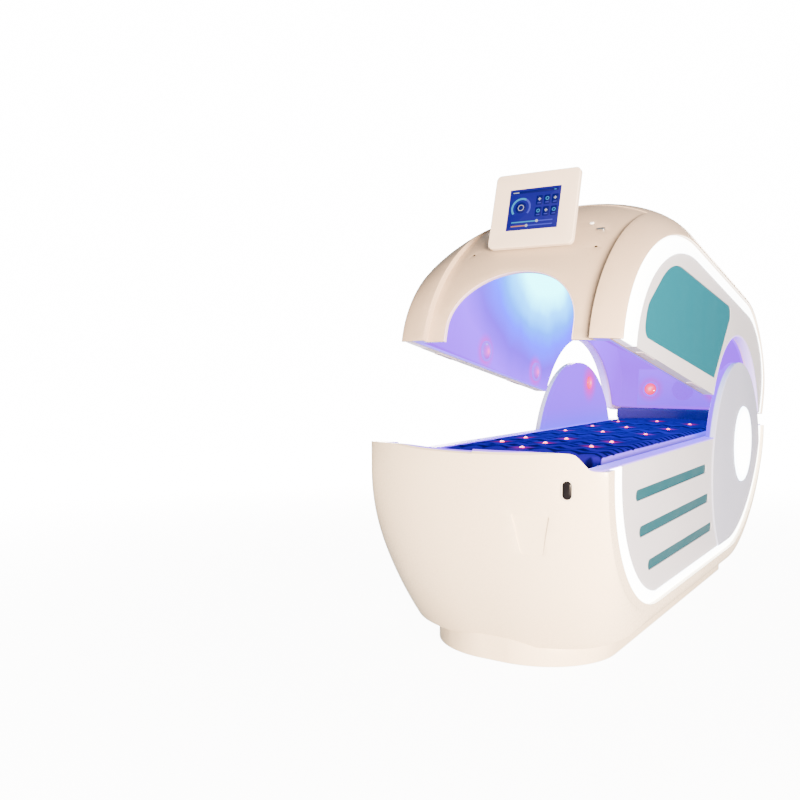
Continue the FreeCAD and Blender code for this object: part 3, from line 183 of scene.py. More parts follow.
@dataclass(frozen=True)
class Moulded(Finish):
    """Moulded or sprayed plastic: slow clouds of tone, a fine grain and uneven gloss."""

    dark: str
    light: str
    cloud_mm: float = 340.0
    grain_mm: float = 3.0
    depth_mm: float = 0.05
    rough: Pair = (0.30, 0.42)
    ior: float = 1.53
    coat: float = 0.0
    specular: float = 0.3
    glow: str = "#000000"
    glow_strength: float = 0.0
    glow_axis: Pair = (0.5369, 0.5765)
    glow_reach: float = 0.0

    def paint(self, add: Adder) -> Dict[str, Any]:
        """Clouds set the tone, the grain sets bump, and both together set the gloss.

        Where a reach is given, the painted glow stays within it of an axis across the capsule and fades
        beyond.

        Args:
            add: Adds a node to the finish's tree.

        Returns:
            What the shader's sockets get, by name.
        """
        place = add("TexCoord", {}, "Object")
        cloud = add("TexNoise", {"Scale": 1000 / self.cloud_mm, "Detail": 3.0, "Vector": place})
        grain = add("TexNoise", {"Scale": 1000 / self.grain_mm, "Detail": 2.0, "Vector": place})
        tone = add("Mix", {"data_type": "RGBA", 0: cloud, 6: self.dark, 7: self.light}, 2)
        both = add("Math", {"operation": "MULTIPLY", 0: cloud, 1: grain})
        gloss = add("MapRange", {"From Min": 0.1, "From Max": 0.45, "To Min": self.rough[0],
                                 "To Max": self.rough[1], "Value": both})
        bump = add("Bump", {"Strength": 0.35, "Distance": self.depth_mm * MM, "Height": grain})
        sockets = {"Base Color": tone, "Roughness": gloss, "Normal": bump, "IOR": self.ior,
                   "Specular IOR Level": self.specular, "Coat Weight": self.coat, "Coat Roughness": 0.06}
        # A glow paints the cabin's light on shell, trim, panels, rings and grille; on the screen glass it is
        # the lit panel.
        if self.glow_strength:
            sockets.update({"Emission Color": self.glow, "Emission Strength": self.glow_strength})
        if self.glow_reach:
            away = axis_distance(add, place, self.glow_axis)
            near = add("MapRange", {"From Min": self.glow_reach, "From Max": self.glow_reach + 0.004,
                                    "To Min": 1.0, "To Max": 0.0, "Value": away})
            ring = add("Mix", {"data_type": "RGBA", 0: near, 6: "#000000", 7: self.glow}, 2)
            sockets["Emission Color"] = ring
        return sockets


@dataclass(frozen=True)
class PaintedLightPlastic(Finish):
    """Plastic with the cabin's light painted on it as a glow, and warm pools of painted light at the
    heaters.

    The glow changes along a direction, or away from a lamp's place where one is given.
    """

    base: str
    way: Triple = (0.0, 0.0, 1.0)
    span: Pair = (0.7, 1.5)
    stops: Tuple[Stop, ...] = ((0.0, "#5c02ae"), (1.0, "#38ffff"))
    strength: float = 6.0
    halos: Tuple[Triple, ...] = ()
    halo: str = "#7a0254"
    halo_reach: float = 0.085
    cloud_mm: float = 180.0
    rough: Pair = (0.30, 0.46)
    lamp: Optional[Triple] = None
    stretch: Triple = (1.0, 1.0, 1.0)

    def paint(self, add: Adder) -> Dict[str, Any]:
        """A ramp over the direction or the distance gives the painted light, and a soft ball at each lamp
        warms it with a painted pool of light.

        Args:
            add: Adds a node to the finish's tree.

        Returns:
            What the shader's sockets get, by name.
        """
        place = add("TexCoord", {}, "Object")
        cloud = add("TexNoise", {"Scale": 1000 / self.cloud_mm, "Detail": 2.0, "Vector": place})
        if self.lamp is None:
            along = add("VectorMath", {"operation": "DOT_PRODUCT", 0: place, 1: self.way}, "Value")
        else:
            start = [-at * factor for at, factor in zip(self.lamp, self.stretch)]
            apart = add("VectorMath", {"operation": "MULTIPLY_ADD", 0: place, 1: self.stretch, 2: start})
            along = add("VectorMath", {"operation": "LENGTH", 0: apart}, "Value")
        share = add("MapRange", {"From Min": self.span[0], "From Max": self.span[1], "Value": along})
        drift = add("Math", {"operation": "MULTIPLY_ADD", 0: cloud, 1: 0.1, 2: -0.05})
        climb = add("Math", {"operation": "ADD", 0: share, 1: drift})
        glow = add("ValToRGB", {"stops": self.stops, 0: climb})
        for spot in self.halos:
            away = add("VectorMath", {"operation": "DISTANCE", 0: place, 1: spot}, "Value")
            near = add("MapRange", {"interpolation_type": "SMOOTHERSTEP", "From Min": 0.02,
                                    "From Max": self.halo_reach, "To Min": 0.85, "To Max": 0.0,
                                    "Value": away})
            glow = add("Mix", {"data_type": "RGBA", 0: near, 6: glow, 7: self.halo}, 2)
        gloss = add("MapRange", {"To Min": self.rough[0], "To Max": self.rough[1], "Value": cloud})
        return {"Base Color": self.base, "IOR": 1.49, "Specular IOR Level": 0.15, "Roughness": gloss,
                "Emission Color": glow, "Emission Strength": self.strength}


@dataclass(frozen=True)
class EarPlastic(Finish):
    """Moulded ear: pale grey outside; the face that looks into the cabin is dark violet, with the cabin's
    light painted on it as a violet glow and a warm painted pool of light at its lamp.
    """

    outside: Tuple[str, str] = ("#a6afce", "#b3bad4")
    inside: str = "#1c0c54"
    stops: Tuple[Stop, ...] = ((0.0, "#4a20ff"), (0.35, "#7008f4"), (1.0, "#7c04f8"))
    halo: str = "#c4087e"
    face_x: float = 0.366
    strength: float = 3.2
    halo_at: Pair = (0.6935, 0.835)
    glow_z: Pair = (0.62, 0.93)
    cloud_mm: float = 220.0
    grain_mm: float = 5.0

    def paint(self, add: Adder) -> Dict[str, Any]:
        """The distance from the middle picks the inner face, and height and the lamp colour its painted
        light.

        Args:
            add: Adds a node to the finish's tree.

        Returns:
            What the shader's sockets get, by name.
        """
        place = add("TexCoord", {}, "Object")
        parts = add("SeparateXYZ", {0: place}).node.outputs
        cloud = add("TexNoise", {"Scale": 1000 / self.cloud_mm, "Detail": 3.0, "Vector": place})
        grain = add("TexNoise", {"Scale": 1000 / self.grain_mm, "Vector": place})
        side = add("Math", {"operation": "ABSOLUTE", 0: parts[0]})
        inner = add("MapRange", {"From Min": self.face_x, "From Max": self.face_x + 0.006, "To Min": 1.0,
                                 "To Max": 0.0, "Value": side})
        height = add("MapRange", {"From Min": self.glow_z[0], "From Max": self.glow_z[1], "Value": parts[2]})
        glow = add("ValToRGB", {"stops": self.stops, 0: height})
        away = axis_distance(add, place, self.halo_at)
        near = add("MapRange", {"interpolation_type": "SMOOTHERSTEP", "From Min": 0.02, "From Max": 0.12,
                                "To Min": 0.9, "To Max": 0.0, "Value": away})
        warm = add("Mix", {"data_type": "RGBA", 0: near, 6: glow, 7: self.halo}, 2)
        lit = add("Mix", {"data_type": "RGBA", 0: inner, 6: "#000000", 7: warm}, 2)
        tone = add("Mix", {"data_type": "RGBA", 0: cloud, 6: self.outside[0], 7: self.outside[1]}, 2)
        skin = add("Mix", {"data_type": "RGBA", 0: inner, 6: tone, 7: self.inside}, 2)
        gloss = add("MapRange", {"To Min": 0.3, "To Max": 0.44, "Value": cloud})
        bump = add("Bump", {"Strength": 0.3, "Distance": 0.05 * MM, "Height": grain})
        return {"Base Color": skin, "IOR": 1.53, "Specular IOR Level": 0.2, "Roughness": gloss,
                "Normal": bump, "Emission Color": lit, "Emission Strength": self.strength}


@dataclass(frozen=True)
class OpalDiffuser(Finish):
    """Opal acrylic over light strips: an even white glow with a faint ripple from the diodes behind."""

    tint: Tuple[str, str] = ("#e9fbff", "#ffffff")
    strength: float = 11.0
    pitch_mm: float = 33.0
    face_x: float = -1.0

    def paint(self, add: Adder) -> Dict[str, Any]:
        """Noise at the diodes' pitch blends two whites; the glow is dim violet behind the outer face.

        Args:
            add: Adds a node to the finish's tree.

        Returns:
            What the shader's sockets get, by name.
        """
        place = add("TexCoord", {}, "Object")
        ripple = add("TexNoise", {"Scale": 1000 / self.pitch_mm, "Detail": 1.0, "Vector": place})
        glow = add("Mix", {"data_type": "RGBA", 0: ripple, 6: self.tint[0], 7: self.tint[1]}, 2)
        side = add("Math", {"operation": "ABSOLUTE", 0: add("SeparateXYZ", {0: place})})
        outer = add("MapRange", {"From Min": self.face_x - 0.004, "From Max": self.face_x, "Value": side})
        lit = add("Mix", {"data_type": "RGBA", 0: outer, 6: "#150a3c", 7: glow}, 2)
        gloss = add("MapRange", {"To Min": 0.3, "To Max": 0.5, "Value": ripple})
        return {"Base Color": "#f4f8fa", "IOR": 1.49, "Roughness": gloss, "Emission Color": lit,
                "Emission Strength": self.strength}


@dataclass(frozen=True)
class WorkedMetal(Finish):
    """Metal with the marks of its making drawn out along one axis."""

    dark: str
    light: str
    line_mm: float
    run_mm: float
    axis: int
    rough: Pair
    depth_mm: float = 0.01

    def paint(self, add: Adder) -> Dict[str, Any]:
        """Noise stretched along the axis gives the brush lines in tone, gloss and bump.

        Args:
            add: Adds a node to the finish's tree.

        Returns:
            What the shader's sockets get, by name.
        """
        scale = [1000 / self.line_mm] * 3
        scale[self.axis] = 1000 / self.run_mm
        place = add("TexCoord", {}, "Object")
        drawn = add("Mapping", {"Scale": scale, "Vector": place})
        lines = add("TexNoise", {"Scale": 1.0, "Detail": 4.0, "Vector": drawn})
        tone = add("Mix", {"data_type": "RGBA", 0: lines, 6: self.dark, 7: self.light}, 2)
        gloss = add("MapRange", {"To Min": self.rough[0], "To Max": self.rough[1], "Value": lines})
        bump = add("Bump", {"Strength": 0.3, "Distance": self.depth_mm * MM, "Height": lines})
        return {"Base Color": tone, "Metallic": 1.0, "Roughness": gloss, "Normal": bump}


@dataclass(frozen=True)
class QuiltedCover(Finish):
    """Woven cover of the bed mat: a zigzag weave in violet and navy; the cabin's light is painted on as a
    glow in the cover's own tone, the lilac band along the sides is painted light, and a warm painted pool of
    light lies round each diode.

    The zigzag is drawn about three times as coarse as it is woven, so that it shows in the render.
    """

    dark: str = "#04021c"
    light: str = "#1b0b74"
    # The lilac of the sides and the warm colour round the diodes are painted light.
    side: str = "#7c58ee"
    warm: str = "#ff1c6e"
    zig_mm: float = 84.0
    row_mm: float = 52.0
    yarn_mm: float = 3.0
    lit_side_x: float = 0.280
    strength: float = 0.8

    def paint(self, add: Adder) -> Dict[str, Any]:
        """Rows that rise and fall with x make the zigzag; the mesh's own glow value adds the warm painted
        light round the diodes.

        Args:
            add: Adds a node to the finish's tree.

        Returns:
            What the shader's sockets get, by name.
        """
        place = add("TexCoord", {}, "Object")
        parts = add("SeparateXYZ", {0: place}).node.outputs
        across = add("Math", {"operation": "MULTIPLY", 0: parts[0], 1: 1000 / self.zig_mm})
        rise = add("Math", {"operation": "PINGPONG", 0: across, 1: 0.5})
        along = add("Math", {"operation": "MULTIPLY_ADD", 0: parts[1], 1: 1000 / self.row_mm, 2: rise})
        row = add("Math", {"operation": "PINGPONG", 0: along, 1: 0.5})
        line = add("MapRange", {"interpolation_type": "SMOOTHSTEP", "From Min": 0.12, "From Max": 0.3,
                                "Value": row})
        yarn = add("TexNoise", {"Scale": 1000 / self.yarn_mm, "Detail": 3.0, "Vector": place})
        weave = add("Math", {"operation": "MULTIPLY_ADD", 0: yarn, 1: 0.5, 2: line})
        share = add("Math", {"operation": "MULTIPLY", 0: weave, 1: 0.66})
        cloth = add("Mix", {"data_type": "RGBA", 0: share, 6: self.dark, 7: self.light}, 2)
        # The lilac band along both sides is painted light.
        out = add("Math", {"operation": "ABSOLUTE", 0: parts[0]})
        edge = add("MapRange", {"From Min": self.lit_side_x, "From Max": self.lit_side_x + 0.003, "Value": out})
        tone = add("Mix", {"data_type": "RGBA", 0: edge, 6: cloth, 7: self.side}, 2)
        # The cover's tone glows as painted cabin light, warmed round the diodes with painted pools of light.
        mesh = add("Attribute", {"attribute_name": "glow"}, "Fac")
        lit = add("Mix", {"data_type": "RGBA", 0: mesh, 6: tone, 7: self.warm}, 2)
        bump = add("Bump", {"Strength": 0.6, "Distance": 0.8 * MM, "Height": weave})
        gloss = add("MapRange", {"From Max": 1.5, "To Min": 0.62, "To Max": 0.42, "Value": weave})
        return {"Base Color": tone, "Specular IOR Level": 0.0, "Roughness": gloss, "Normal": bump,
                "Emission Color": lit, "Emission Strength": self.strength}


@dataclass(frozen=True)
class Leatherette(Finish):
    """Coated cloth with a pressed grain, on the foot board."""

    dark: str = "#1a0a50"
    light: str = "#2c1674"
    pore_mm: float = 4.0

    def paint(self, add: Adder) -> Dict[str, Any]:
        """Cells of the pore size give the grain; their edges are darker and deeper.

        Args:
            add: Adds a node to the finish's tree.

        Returns:
            What the shader's sockets get, by name.
        """
        place = add("TexCoord", {}, "Object")
        cells = add("TexVoronoi", {"feature": "DISTANCE_TO_EDGE", "Scale": 1000 / self.pore_mm,
                                   "Vector": place}, "Distance")
        skin = add("MapRange", {"From Max": 0.22, "Value": cells})
        tone = add("Mix", {"data_type": "RGBA", 0: skin, 6: self.dark, 7: self.light}, 2)
        gloss = add("MapRange", {"To Min": 0.6, "To Max": 0.38, "Value": skin})
        bump = add("Bump", {"Strength": 0.4, "Distance": 0.3 * MM, "Height": skin})
        return {"Base Color": tone, "Roughness": gloss, "Normal": bump}


@dataclass(frozen=True)
class LampLens(Finish):
    """Pressed red glass over a lamp: bright in the middle, deeper towards the rim."""

    stops: Tuple[Stop, ...] = ((0.0, "#ffb0b8"), (0.4, "#ff2c50"), (1.0, "#d00838"))
    base: str = "#a01030"
    strength: float = 3.0

    def paint(self, add: Adder) -> Dict[str, Any]:
        """The mesh's reach value, 0 in the middle and 1 at the rim, runs through the ramp.

        Args:
            add: Adds a node to the finish's tree.

        Returns:
            What the shader's sockets get, by name.
        """
        reach = add("Attribute", {"attribute_name": "reach"}, "Fac")
        glow = add("ValToRGB", {"stops": self.stops, 0: reach})
        gloss = add("MapRange", {"To Min": 0.08, "To Max": 0.2, "Value": reach})
        return {"Base Color": self.base, "IOR": 1.52, "Coat Weight": 0.6, "Roughness": gloss,
                "Emission Color": glow, "Emission Strength": self.strength}


@dataclass(frozen=True)
class LampDisc(Finish):
    """Round opal disc of an ear lamp: white in the middle, a cool fall-off to its rim."""

    centre: Pair = (0.6425, 0.573)
    radius: float = 0.166
    stops: Tuple[Stop, ...] = ((0.0, "#ffffff"), (1.0, "#cfe6f4"))
    strength: float = 13.0

    def paint(self, add: Adder) -> Dict[str, Any]:
        """The distance from the disc's axis runs from white to a pale blue at the rim.

        Args:
            add: Adds a node to the finish's tree.

        Returns:
            What the shader's sockets get, by name.
        """
        away = axis_distance(add, add("TexCoord", {}, "Object"), self.centre)
        share = add("MapRange", {"From Min": 0.8 * self.radius, "From Max": self.radius, "Value": away})
        glow = add("ValToRGB", {"stops": self.stops, 0: share})
        gloss = add("MapRange", {"To Min": 0.28, "To Max": 0.45, "Value": share})
        return {"Base Color": "#f6f8fa", "IOR": 1.49, "Roughness": gloss, "Emission Color": glow,
                "Emission Strength": self.strength}


@dataclass(frozen=True)
class ScreenInk(Finish):
    """Lit picture of the screen: each shape glows in the colour that its mesh carries."""

    def paint(self, add: Adder) -> Dict[str, Any]:
        """The mesh's ink colour is the glow; the face itself stays dark.

        Args:
            add: Adds a node to the finish's tree.

        Returns:
            What the shader's sockets get, by name.
        """
        ink = add("Attribute", {"attribute_name": "ink"}, "Color")
        return {"Base Color": "#080a20", "Specular IOR Level": 0.01, "Roughness": 0.5, "Emission Color": ink,
                "Emission Strength": 1.0}


@dataclass(frozen=True)
class StudioPaper(Finish):
    """White paper of the stage: it brightens away from the object until it meets the backdrop."""

    near: float = 11.0
    far: float = 16.0
    bounce: float = 0.2
    reach: Pair = (1.0, 5.0)

    def paint(self, add: Adder) -> Dict[str, Any]:
        """The distance from the middle sets the paper's glow, which is weak as a light on the object.

        Args:
            add: Adds a node to the finish's tree.

        Returns:
            What the shader's sockets get, by name.
        """
        place = add("TexCoord", {}, "Object")
        away = add("VectorMath", {"operation": "LENGTH", 0: place}, "Value")
        power = add("MapRange", {"interpolation_type": "SMOOTHSTEP", "From Min": self.reach[0],
                                 "From Max": self.reach[1], "To Min": self.near, "To Max": self.far,
                                 "Value": away})
        seen = add("LightPath", {}, "Is Camera Ray")
        shown = add("Mix", {0: seen, 2: self.bounce, 3: power})
        return {"Base Color": "#a8a8a8", "Roughness": 0.9, "Specular IOR Level": 0.0,
                "Emission Color": "#ffffff", "Emission Strength": shown}


# Glass-fibre shell with a sprayed cream gelcoat: glossy, with a faint orange peel.
GELCOAT_CREAM = Moulded("gelcoat_cream", "#ecdcc2", "#f3e6cf", cloud_mm=420.0, grain_mm=7.0, depth_mm=0.06,
                        rough=(0.22, 0.34), ior=1.5, coat=0.1)
# The lid's gelcoat, warmer and darker than the bowl's; the cabin's light on the edge round the ear is
# painted on as a violet glow.
GELCOAT_LID = Moulded("gelcoat_lid", "#c4ae98", "#cebba6", cloud_mm=420.0, grain_mm=7.0, depth_mm=0.06,
                      rough=(0.26, 0.38), ior=1.5, coat=0.08, glow="#8a28f8", glow_strength=1.6,
                      glow_reach=0.4765)
# Injection-moulded ABS trim in a slightly warmer cream with a satin grain.
ABS_CREAM = Moulded("abs_cream_trim", "#d3bfaa", "#dccab6", cloud_mm=300.0)
# The same trim round the head opening, tinted towards lilac, with the cabin's violet light painted on it as
# an even glow.
ABS_ARCH = Moulded("abs_arch_trim", "#d0bcae", "#d8c6ba", cloud_mm=300.0, glow="#7c20e8", glow_strength=0.7)
# Vacuum-formed ABS panel in pale grey, satin, with an even fine grain.
ABS_GREY = Moulded("abs_pale_grey", "#b9bccd", "#c4c7d4")
# The lid's panels are the same ABS; the cabin's light on the edge of their cut-out round the ear is painted
# on as a violet glow.
ABS_LID_PANEL = Moulded("abs_lid_panel", "#bfc2d0", "#cacdd8", glow="#8a28f8", glow_strength=2.0,
                        glow_reach=0.4765)
# Cast acrylic tinted teal, a smooth satin face; the cabin's light behind it is painted on as a glow, lighter
# towards the top.
ACRYLIC_TEAL = PaintedLightPlastic("acrylic_teal", "#02505f", (0.0, -0.3, 1.0), (0.8, 1.6),
                          ((0.0, "#00687c"), (1.0, "#04889c")), 0.6)
# The slats are thicker pieces of the same acrylic, painted darker as the shade in their recesses, with a
# weaker painted glow.
ACRYLIC_TEAL_SHADED = PaintedLightPlastic("acrylic_teal_painted_shade", "#02404c", (0.0, -0.3, 1.0), (0.2, 0.9),
                          ((0.0, "#005264"), (1.0, "#046c7e")), 0.4)
# Tablet housing: cream ABS, sprayed, with a soft satin face.
ABS_TABLET = Moulded("abs_tablet", "#e0d0bf", "#e8dacb", cloud_mm=160.0, grain_mm=2.0, depth_mm=0.04,
                     rough=(0.28, 0.38), coat=0.05)
# Tempered glass, etched against glare, over a lit panel that is blue when on.
SCREEN_GLASS = Moulded("screen_glass", "#0a0c34", "#0f1240", cloud_mm=70.0, grain_mm=30.0, depth_mm=0.0,
                       rough=(0.45, 0.55), ior=1.52, specular=0.01, glow="#5a44ff", glow_strength=0.34)
# Black ABS housings and inlet, spark-eroded mould texture.
ABS_BLACK = Moulded("abs_black", "#131316", "#1d1d21", cloud_mm=90.0, grain_mm=1.5, rough=(0.42, 0.6),
                    specular=0.5)
# Polished black acrylic push button.
ACRYLIC_BLACK = Moulded("acrylic_black", "#0a090c", "#141318", cloud_mm=40.0, grain_mm=10.0, depth_mm=0.01,
                        rough=(0.16, 0.26), ior=1.49, specular=0.12)
# ABS ring pressed round the push button, painted pale as the highlight round the button.
BEZEL_PAINTED_HIGHLIGHT = Moulded("bezel_painted_highlight", "#d8d0c4", "#e6dfd4", cloud_mm=60.0, grain_mm=2.0, depth_mm=0.03,
                   rough=(0.22, 0.34), specular=0.5)
# Moulded rubber feet, dusty where they are handled.
RUBBER = Moulded("rubber_moulded", "#191919", "#2a2a2a", cloud_mm=30.0, grain_mm=1.2, depth_mm=0.08,
                 rough=(0.65, 0.85), ior=1.52, specular=0.5)
# Pale moulded rubber buffers under the lid's edge.
RUBBER_PALE = Moulded("rubber_pale", "#aea6b4", "#bfb8c4", cloud_mm=30.0, grain_mm=1.2, depth_mm=0.08,
                      rough=(0.6, 0.8), ior=1.52, specular=0.5)
# Birch plywood bed board, oiled, painted near-black as the shade in the gap round the mat.
PLYWOOD_PAINTED_SHADE = Moulded("birch_plywood_painted_shade", "#0f0b16", "#1b1524", cloud_mm=45.0, grain_mm=4.0, depth_mm=0.1,
                  rough=(0.5, 0.7), ior=1.5, specular=0.1)
# Lamp rings moulded in the liner's plastic, with the cabin's light painted on them as a violet glow.
RING_VIOLET = Moulded("ring_violet", "#2c1c70", "#3a2a86", cloud_mm=40.0, grain_mm=2.0, depth_mm=0.02,
                      rough=(0.25, 0.4), ior=1.49, specular=0.2, glow="#8420f0", glow_strength=3.0)
# Perforated steel grille, painted violet, with the console's light coming through it painted on as a glow.
GRILLE = Moulded("grille_painted", "#3c2488", "#4a2e9a", cloud_mm=40.0, grain_mm=2.0, rough=(0.4, 0.55),
                 ior=1.5, specular=0.15, glow="#9207ff", glow_strength=1.7)
# Extruded aluminium sections, mill finish with draw lines.
ALUMINIUM = WorkedMetal("aluminium_extruded", "#9a9ca0", "#b8babd", 1.5, 120.0, 1, (0.3, 0.5))
# Brushed steel plates and pins.
STEEL = WorkedMetal("steel_brushed", "#8c8d90", "#b4b5b8", 1.2, 40.0, 2, (0.22, 0.4))
# Blackened steel screws in the visor.
STEEL_DARK = WorkedMetal("steel_blackened", "#2a211c", "#40342c", 1.2, 8.0, 0, (0.4, 0.55))
# Chrome-plated brass lid button: bright, faintly uneven.
CHROME = WorkedMetal("chrome_plated", "#cdd0d4", "#e6e8ea", 4.0, 14.0, 0, (0.04, 0.12), 0.004)
# Extruded opal acrylic strips, a cooler one at the ceiling and a warm dot for the status light.
OPAL = OpalDiffuser("opal_acrylic", face_x=0.378)
OPAL_SOFT = OpalDiffuser("opal_ceiling", ("#8ff2ff", "#d8fcff"), 9.0, 25.0)
OPAL_DOT = OpalDiffuser("opal_status", ("#fff1e2", "#fffaf2"), 2.4, 5.0)
# Opal acrylic disc and moulded ABS ear, woven polyester mat cover and pressed leatherette; the ear and the
# cover carry painted light.
LAMP_DISC = LampDisc("opal_disc")
EAR = EarPlastic("abs_ear")
MAT_COVER = QuiltedCover("cover_zigzag")
FOOT_LEATHER = Leatherette("leatherette_navy")
# Pressed red glass of the rear and ear lamps and of the diodes; on the wall lamps it fades to violet towards
# the rim, painted light from the violet walls.
LAMP_GLASS = LampLens("lamp_glass_red")
WALL_GLASS = LampLens("lamp_glass_wall", ((0.0, "#ff4a9c"), (0.45, "#c01ca8"), (1.0, "#7a08c4")),
                      "#3a1a6c", 3.6)
DIODE_GLASS = LampLens("diode_glass", ((0.0, "#fff0f2"), (0.4, "#ff8fa0"), (1.0, "#ff2f55")), "#ff5070", 7.0)
# Liquid-crystal picture behind the glass.
SCREEN_INK = ScreenInk("screen_ink")


def mesh_object(name: str, points: np.ndarray, faces: np.ndarray,
                values: Optional[Dict[str, np.ndarray]] = None) -> bpy.types.Object:
    """Makes a smooth mesh object at the origin from whole arrays.

    Args:
        name: Object name.
        points: Vertex positions, n by 3, in metres.
        faces: Vertex numbers of the quads, m by 4.
        values: Named point attributes, one number or one colour for each vertex.

    Returns:
        The linked object, with doubled vertices merged and its faces outwards.
    """
    mesh = bpy.data.meshes.new(name)
    mesh.from_pydata(points.reshape(-1, 3).tolist(), [], faces.tolist())
    for key, value in (values or {}).items():
        colour = value.ndim == 2
        attribute = mesh.attributes.new(key, "FLOAT_COLOR" if colour else "FLOAT", "POINT")
        attribute.data.foreach_set("color" if colour else "value", value.astype(np.float32).ravel())
    work = bmesh.new()
    work.from_mesh(mesh)
    bmesh.ops.remove_doubles(work, verts=work.verts, dist=1e-6)
    bmesh.ops.dissolve_degenerate(work, edges=work.edges, dist=1e-7)
    bmesh.ops.recalc_face_normals(work, faces=work.faces)
    work.to_mesh(mesh)
    work.free()
    mesh.shade_smooth()
    made = bpy.data.objects.new(name, mesh)
    bpy.context.scene.collection.objects.link(made)
    return made


def grid_faces(count: int, rows: int, columns: int, wrap: bool) -> np.ndarray:
    """Vertex numbers of the quads of several equal grids, one after the other.

    Args:
        count: Number of grids.
        rows: Rows in each.
        columns: Columns in each.
        wrap: Whether the last column joins the first.

    Returns:
        Quads, n by 4.
    """
    index = np.arange(count * rows * columns).reshape(count, rows, columns)
    if wrap:
        index = np.concatenate([index, index[:, :, :1]], axis=2)
    corners = [index[:, :-1, :-1], index[:, :-1, 1:], index[:, 1:, 1:], index[:, 1:, :-1]]
    return np.stack(corners, axis=-1).reshape(-1, 4)


def finish_piece(piece: bpy.types.Object, finish: Finish, body: Body,
                 replaced: Sequence[str] = ()) -> None:
    """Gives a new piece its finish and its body.

    Args:
        piece: The new piece.
        finish: Its finish.
        body: Body that it rides on.
        replaced: Solids that it stands for.
    """
    piece.data.materials.append(finish.make())
    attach(piece, body.value)
    if replaced:
        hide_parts(*replaced)
    LOG.info("piece %s rides on %s", piece.name, body.value)


def dress_node(node: str, finish: Finish, edge: Edge = Edge.CRISP) -> None:
    """Gives a solid of the part its finish and rounds its sharp edges.

    The solid's loose triangles are welded and flat ones joined, so that the bevel follows real edges.

    Args:
        node: Name of the solid.
        finish: Its finish.
        edge: How round its edges are.
    """
    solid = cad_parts[node]
    if not solid.material_slots:
        solid.data.materials.append(finish.make())
    for place in solid.material_slots:
        place.material = finish.make()
    weld = solid.modifiers.new("weld", "WELD")
    weld.merge_threshold = WELD
    flat = solid.modifiers.new("flat", "DECIMATE")
    flat.decimate_type = "DISSOLVE"
    flat.angle_limit = math.radians(FLAT_DEG)
    bevel = solid.modifiers.new("edge", "BEVEL")
    bevel.width = edge.value * MM
    bevel.segments = 3
    bevel.limit_method = "ANGLE"
    bevel.angle_limit = math.radians(SHARP_DEG)
    bevel.harden_normals = True
    LOG.info("solid %s in %s", node, finish.name)


def tangents(ways: np.ndarray) -> Tuple[np.ndarray, np.ndarray]:
    """Finds two directions across each given one, square to it and to each other.

    Args:
        ways: Directions, n by 3.

    Returns:
        First and second direction of each, n by 3.
    """
    helper = np.where(np.abs(ways[:, :1]) > 0.9, [[0.0, 0.0, 1.0]], [[1.0, 0.0, 0.0]])
    first = np.cross(helper, ways)
    first /= np.linalg.norm(first, axis=1, keepdims=True)
    return first, np.cross(ways, first)


def lens_object(name: str, places: np.ndarray, ways: np.ndarray, radius: float, dome: float,
                skirt: float, ridges: float) -> bpy.types.Object:
    """Round lenses as closed bodies of revolution, one at each place.

    A lens is a grid of t from the middle to the rim and of the angle. Its height is the dome times
    1 - t squared, plus shallow rings, a cosine of t. The last rows go down the skirt and close the back.

    Args:
        name: Object name.
        places: Middle of each lens's rim plane, n by 3.
        ways: Outward direction of each, n by 3.
        radius: Radius at the rim.
        dome: Rise of the middle.
        skirt: Depth of the side below the rim plane.
        ridges: Number of pressed rings.

    Returns:
        One object that holds all the lenses, with a reach value of 0 in the middle and 1 at the rim.
    """
    t = np.linspace(0.0, 1.0, LENS_STEPS)
    high = dome * (1 - t ** 2) + 0.06 * dome * np.cos(2 * np.pi * ridges * t) * (1 - t)
    out = radius * np.concatenate([t, [1.0, 0.0]])
    up = np.concatenate([high, [-skirt, -skirt]])
    reach = np.concatenate([t, [1.0, 1.0]])
    turn = np.linspace(0.0, 2 * np.pi, LENS_SIDES, endpoint=False)
    first, second = tangents(ways)
    ring = (np.cos(turn)[None, :, None] * first[:, None, :] + np.sin(turn)[None, :, None] * second[:, None,
                                                                                                   :])
    points = (places[:, None, None, :] + out[None, :, None, None] * ring[:, None, :, :]
              + up[None, :, None, None] * ways[:, None, None, :])
    count = len(places)
    spread = np.broadcast_to(reach[None, :, None], (count, len(out), len(turn)))
    return mesh_object(name, points, grid_faces(count, len(out), len(turn), True),
                       {"reach": spread.reshape(-1)})


def inflate(piece: bpy.types.Object, held: np.ndarray, pressure: float, cap: float) -> None:
    """Swells a closed cover by a short cloth simulation, with its sewn points held.

    Args:
        piece: Object with the cover's mesh.
        held: Numbers of the vertices that stay where they are.
        pressure: Pressure inside the cover.
        cap: Furthest that a point may move, in metres.
    """
    mesh = piece.data
    rest = np.empty(len(mesh.vertices) * 3)
    mesh.vertices.foreach_get("co", rest)
    group = piece.vertex_groups.new(name="held")
    group.add(held.tolist(), 1.0, "REPLACE")
    cloth = piece.modifiers.new("cloth", "CLOTH")
    cloth.settings.use_pressure = True
    cloth.settings.uniform_pressure_force = pressure
    cloth.settings.vertex_group_mass = "held"
    cloth.settings.effector_weights.gravity = 0.0
    cloth.settings.quality = 5
    cloth.point_cache.frame_start = 1
    cloth.point_cache.frame_end = SWELL_FRAMES
    for number in range(1, SWELL_FRAMES + 1):
        bpy.context.scene.frame_set(number)
    graph = bpy.context.evaluated_depsgraph_get()
    moved = np.empty(len(mesh.vertices) * 3)
    piece.evaluated_get(graph).data.vertices.foreach_get("co", moved)
    shift = (moved - rest).reshape(-1, 3)
    far = np.linalg.norm(shift, axis=1, keepdims=True)
    shift *= np.minimum(1.0, cap / np.maximum(far, 1e-9))
    piece.modifiers.remove(cloth)
    piece.vertex_groups.clear()
    bpy.context.scene.frame_set(1)
    mesh.vertices.foreach_set("co", rest + shift.ravel())
    mesh.update()
    LOG.info("cover %s swelled by up to %.1f mm", piece.name,
             1000 * float(np.linalg.norm(shift, axis=1).max()))


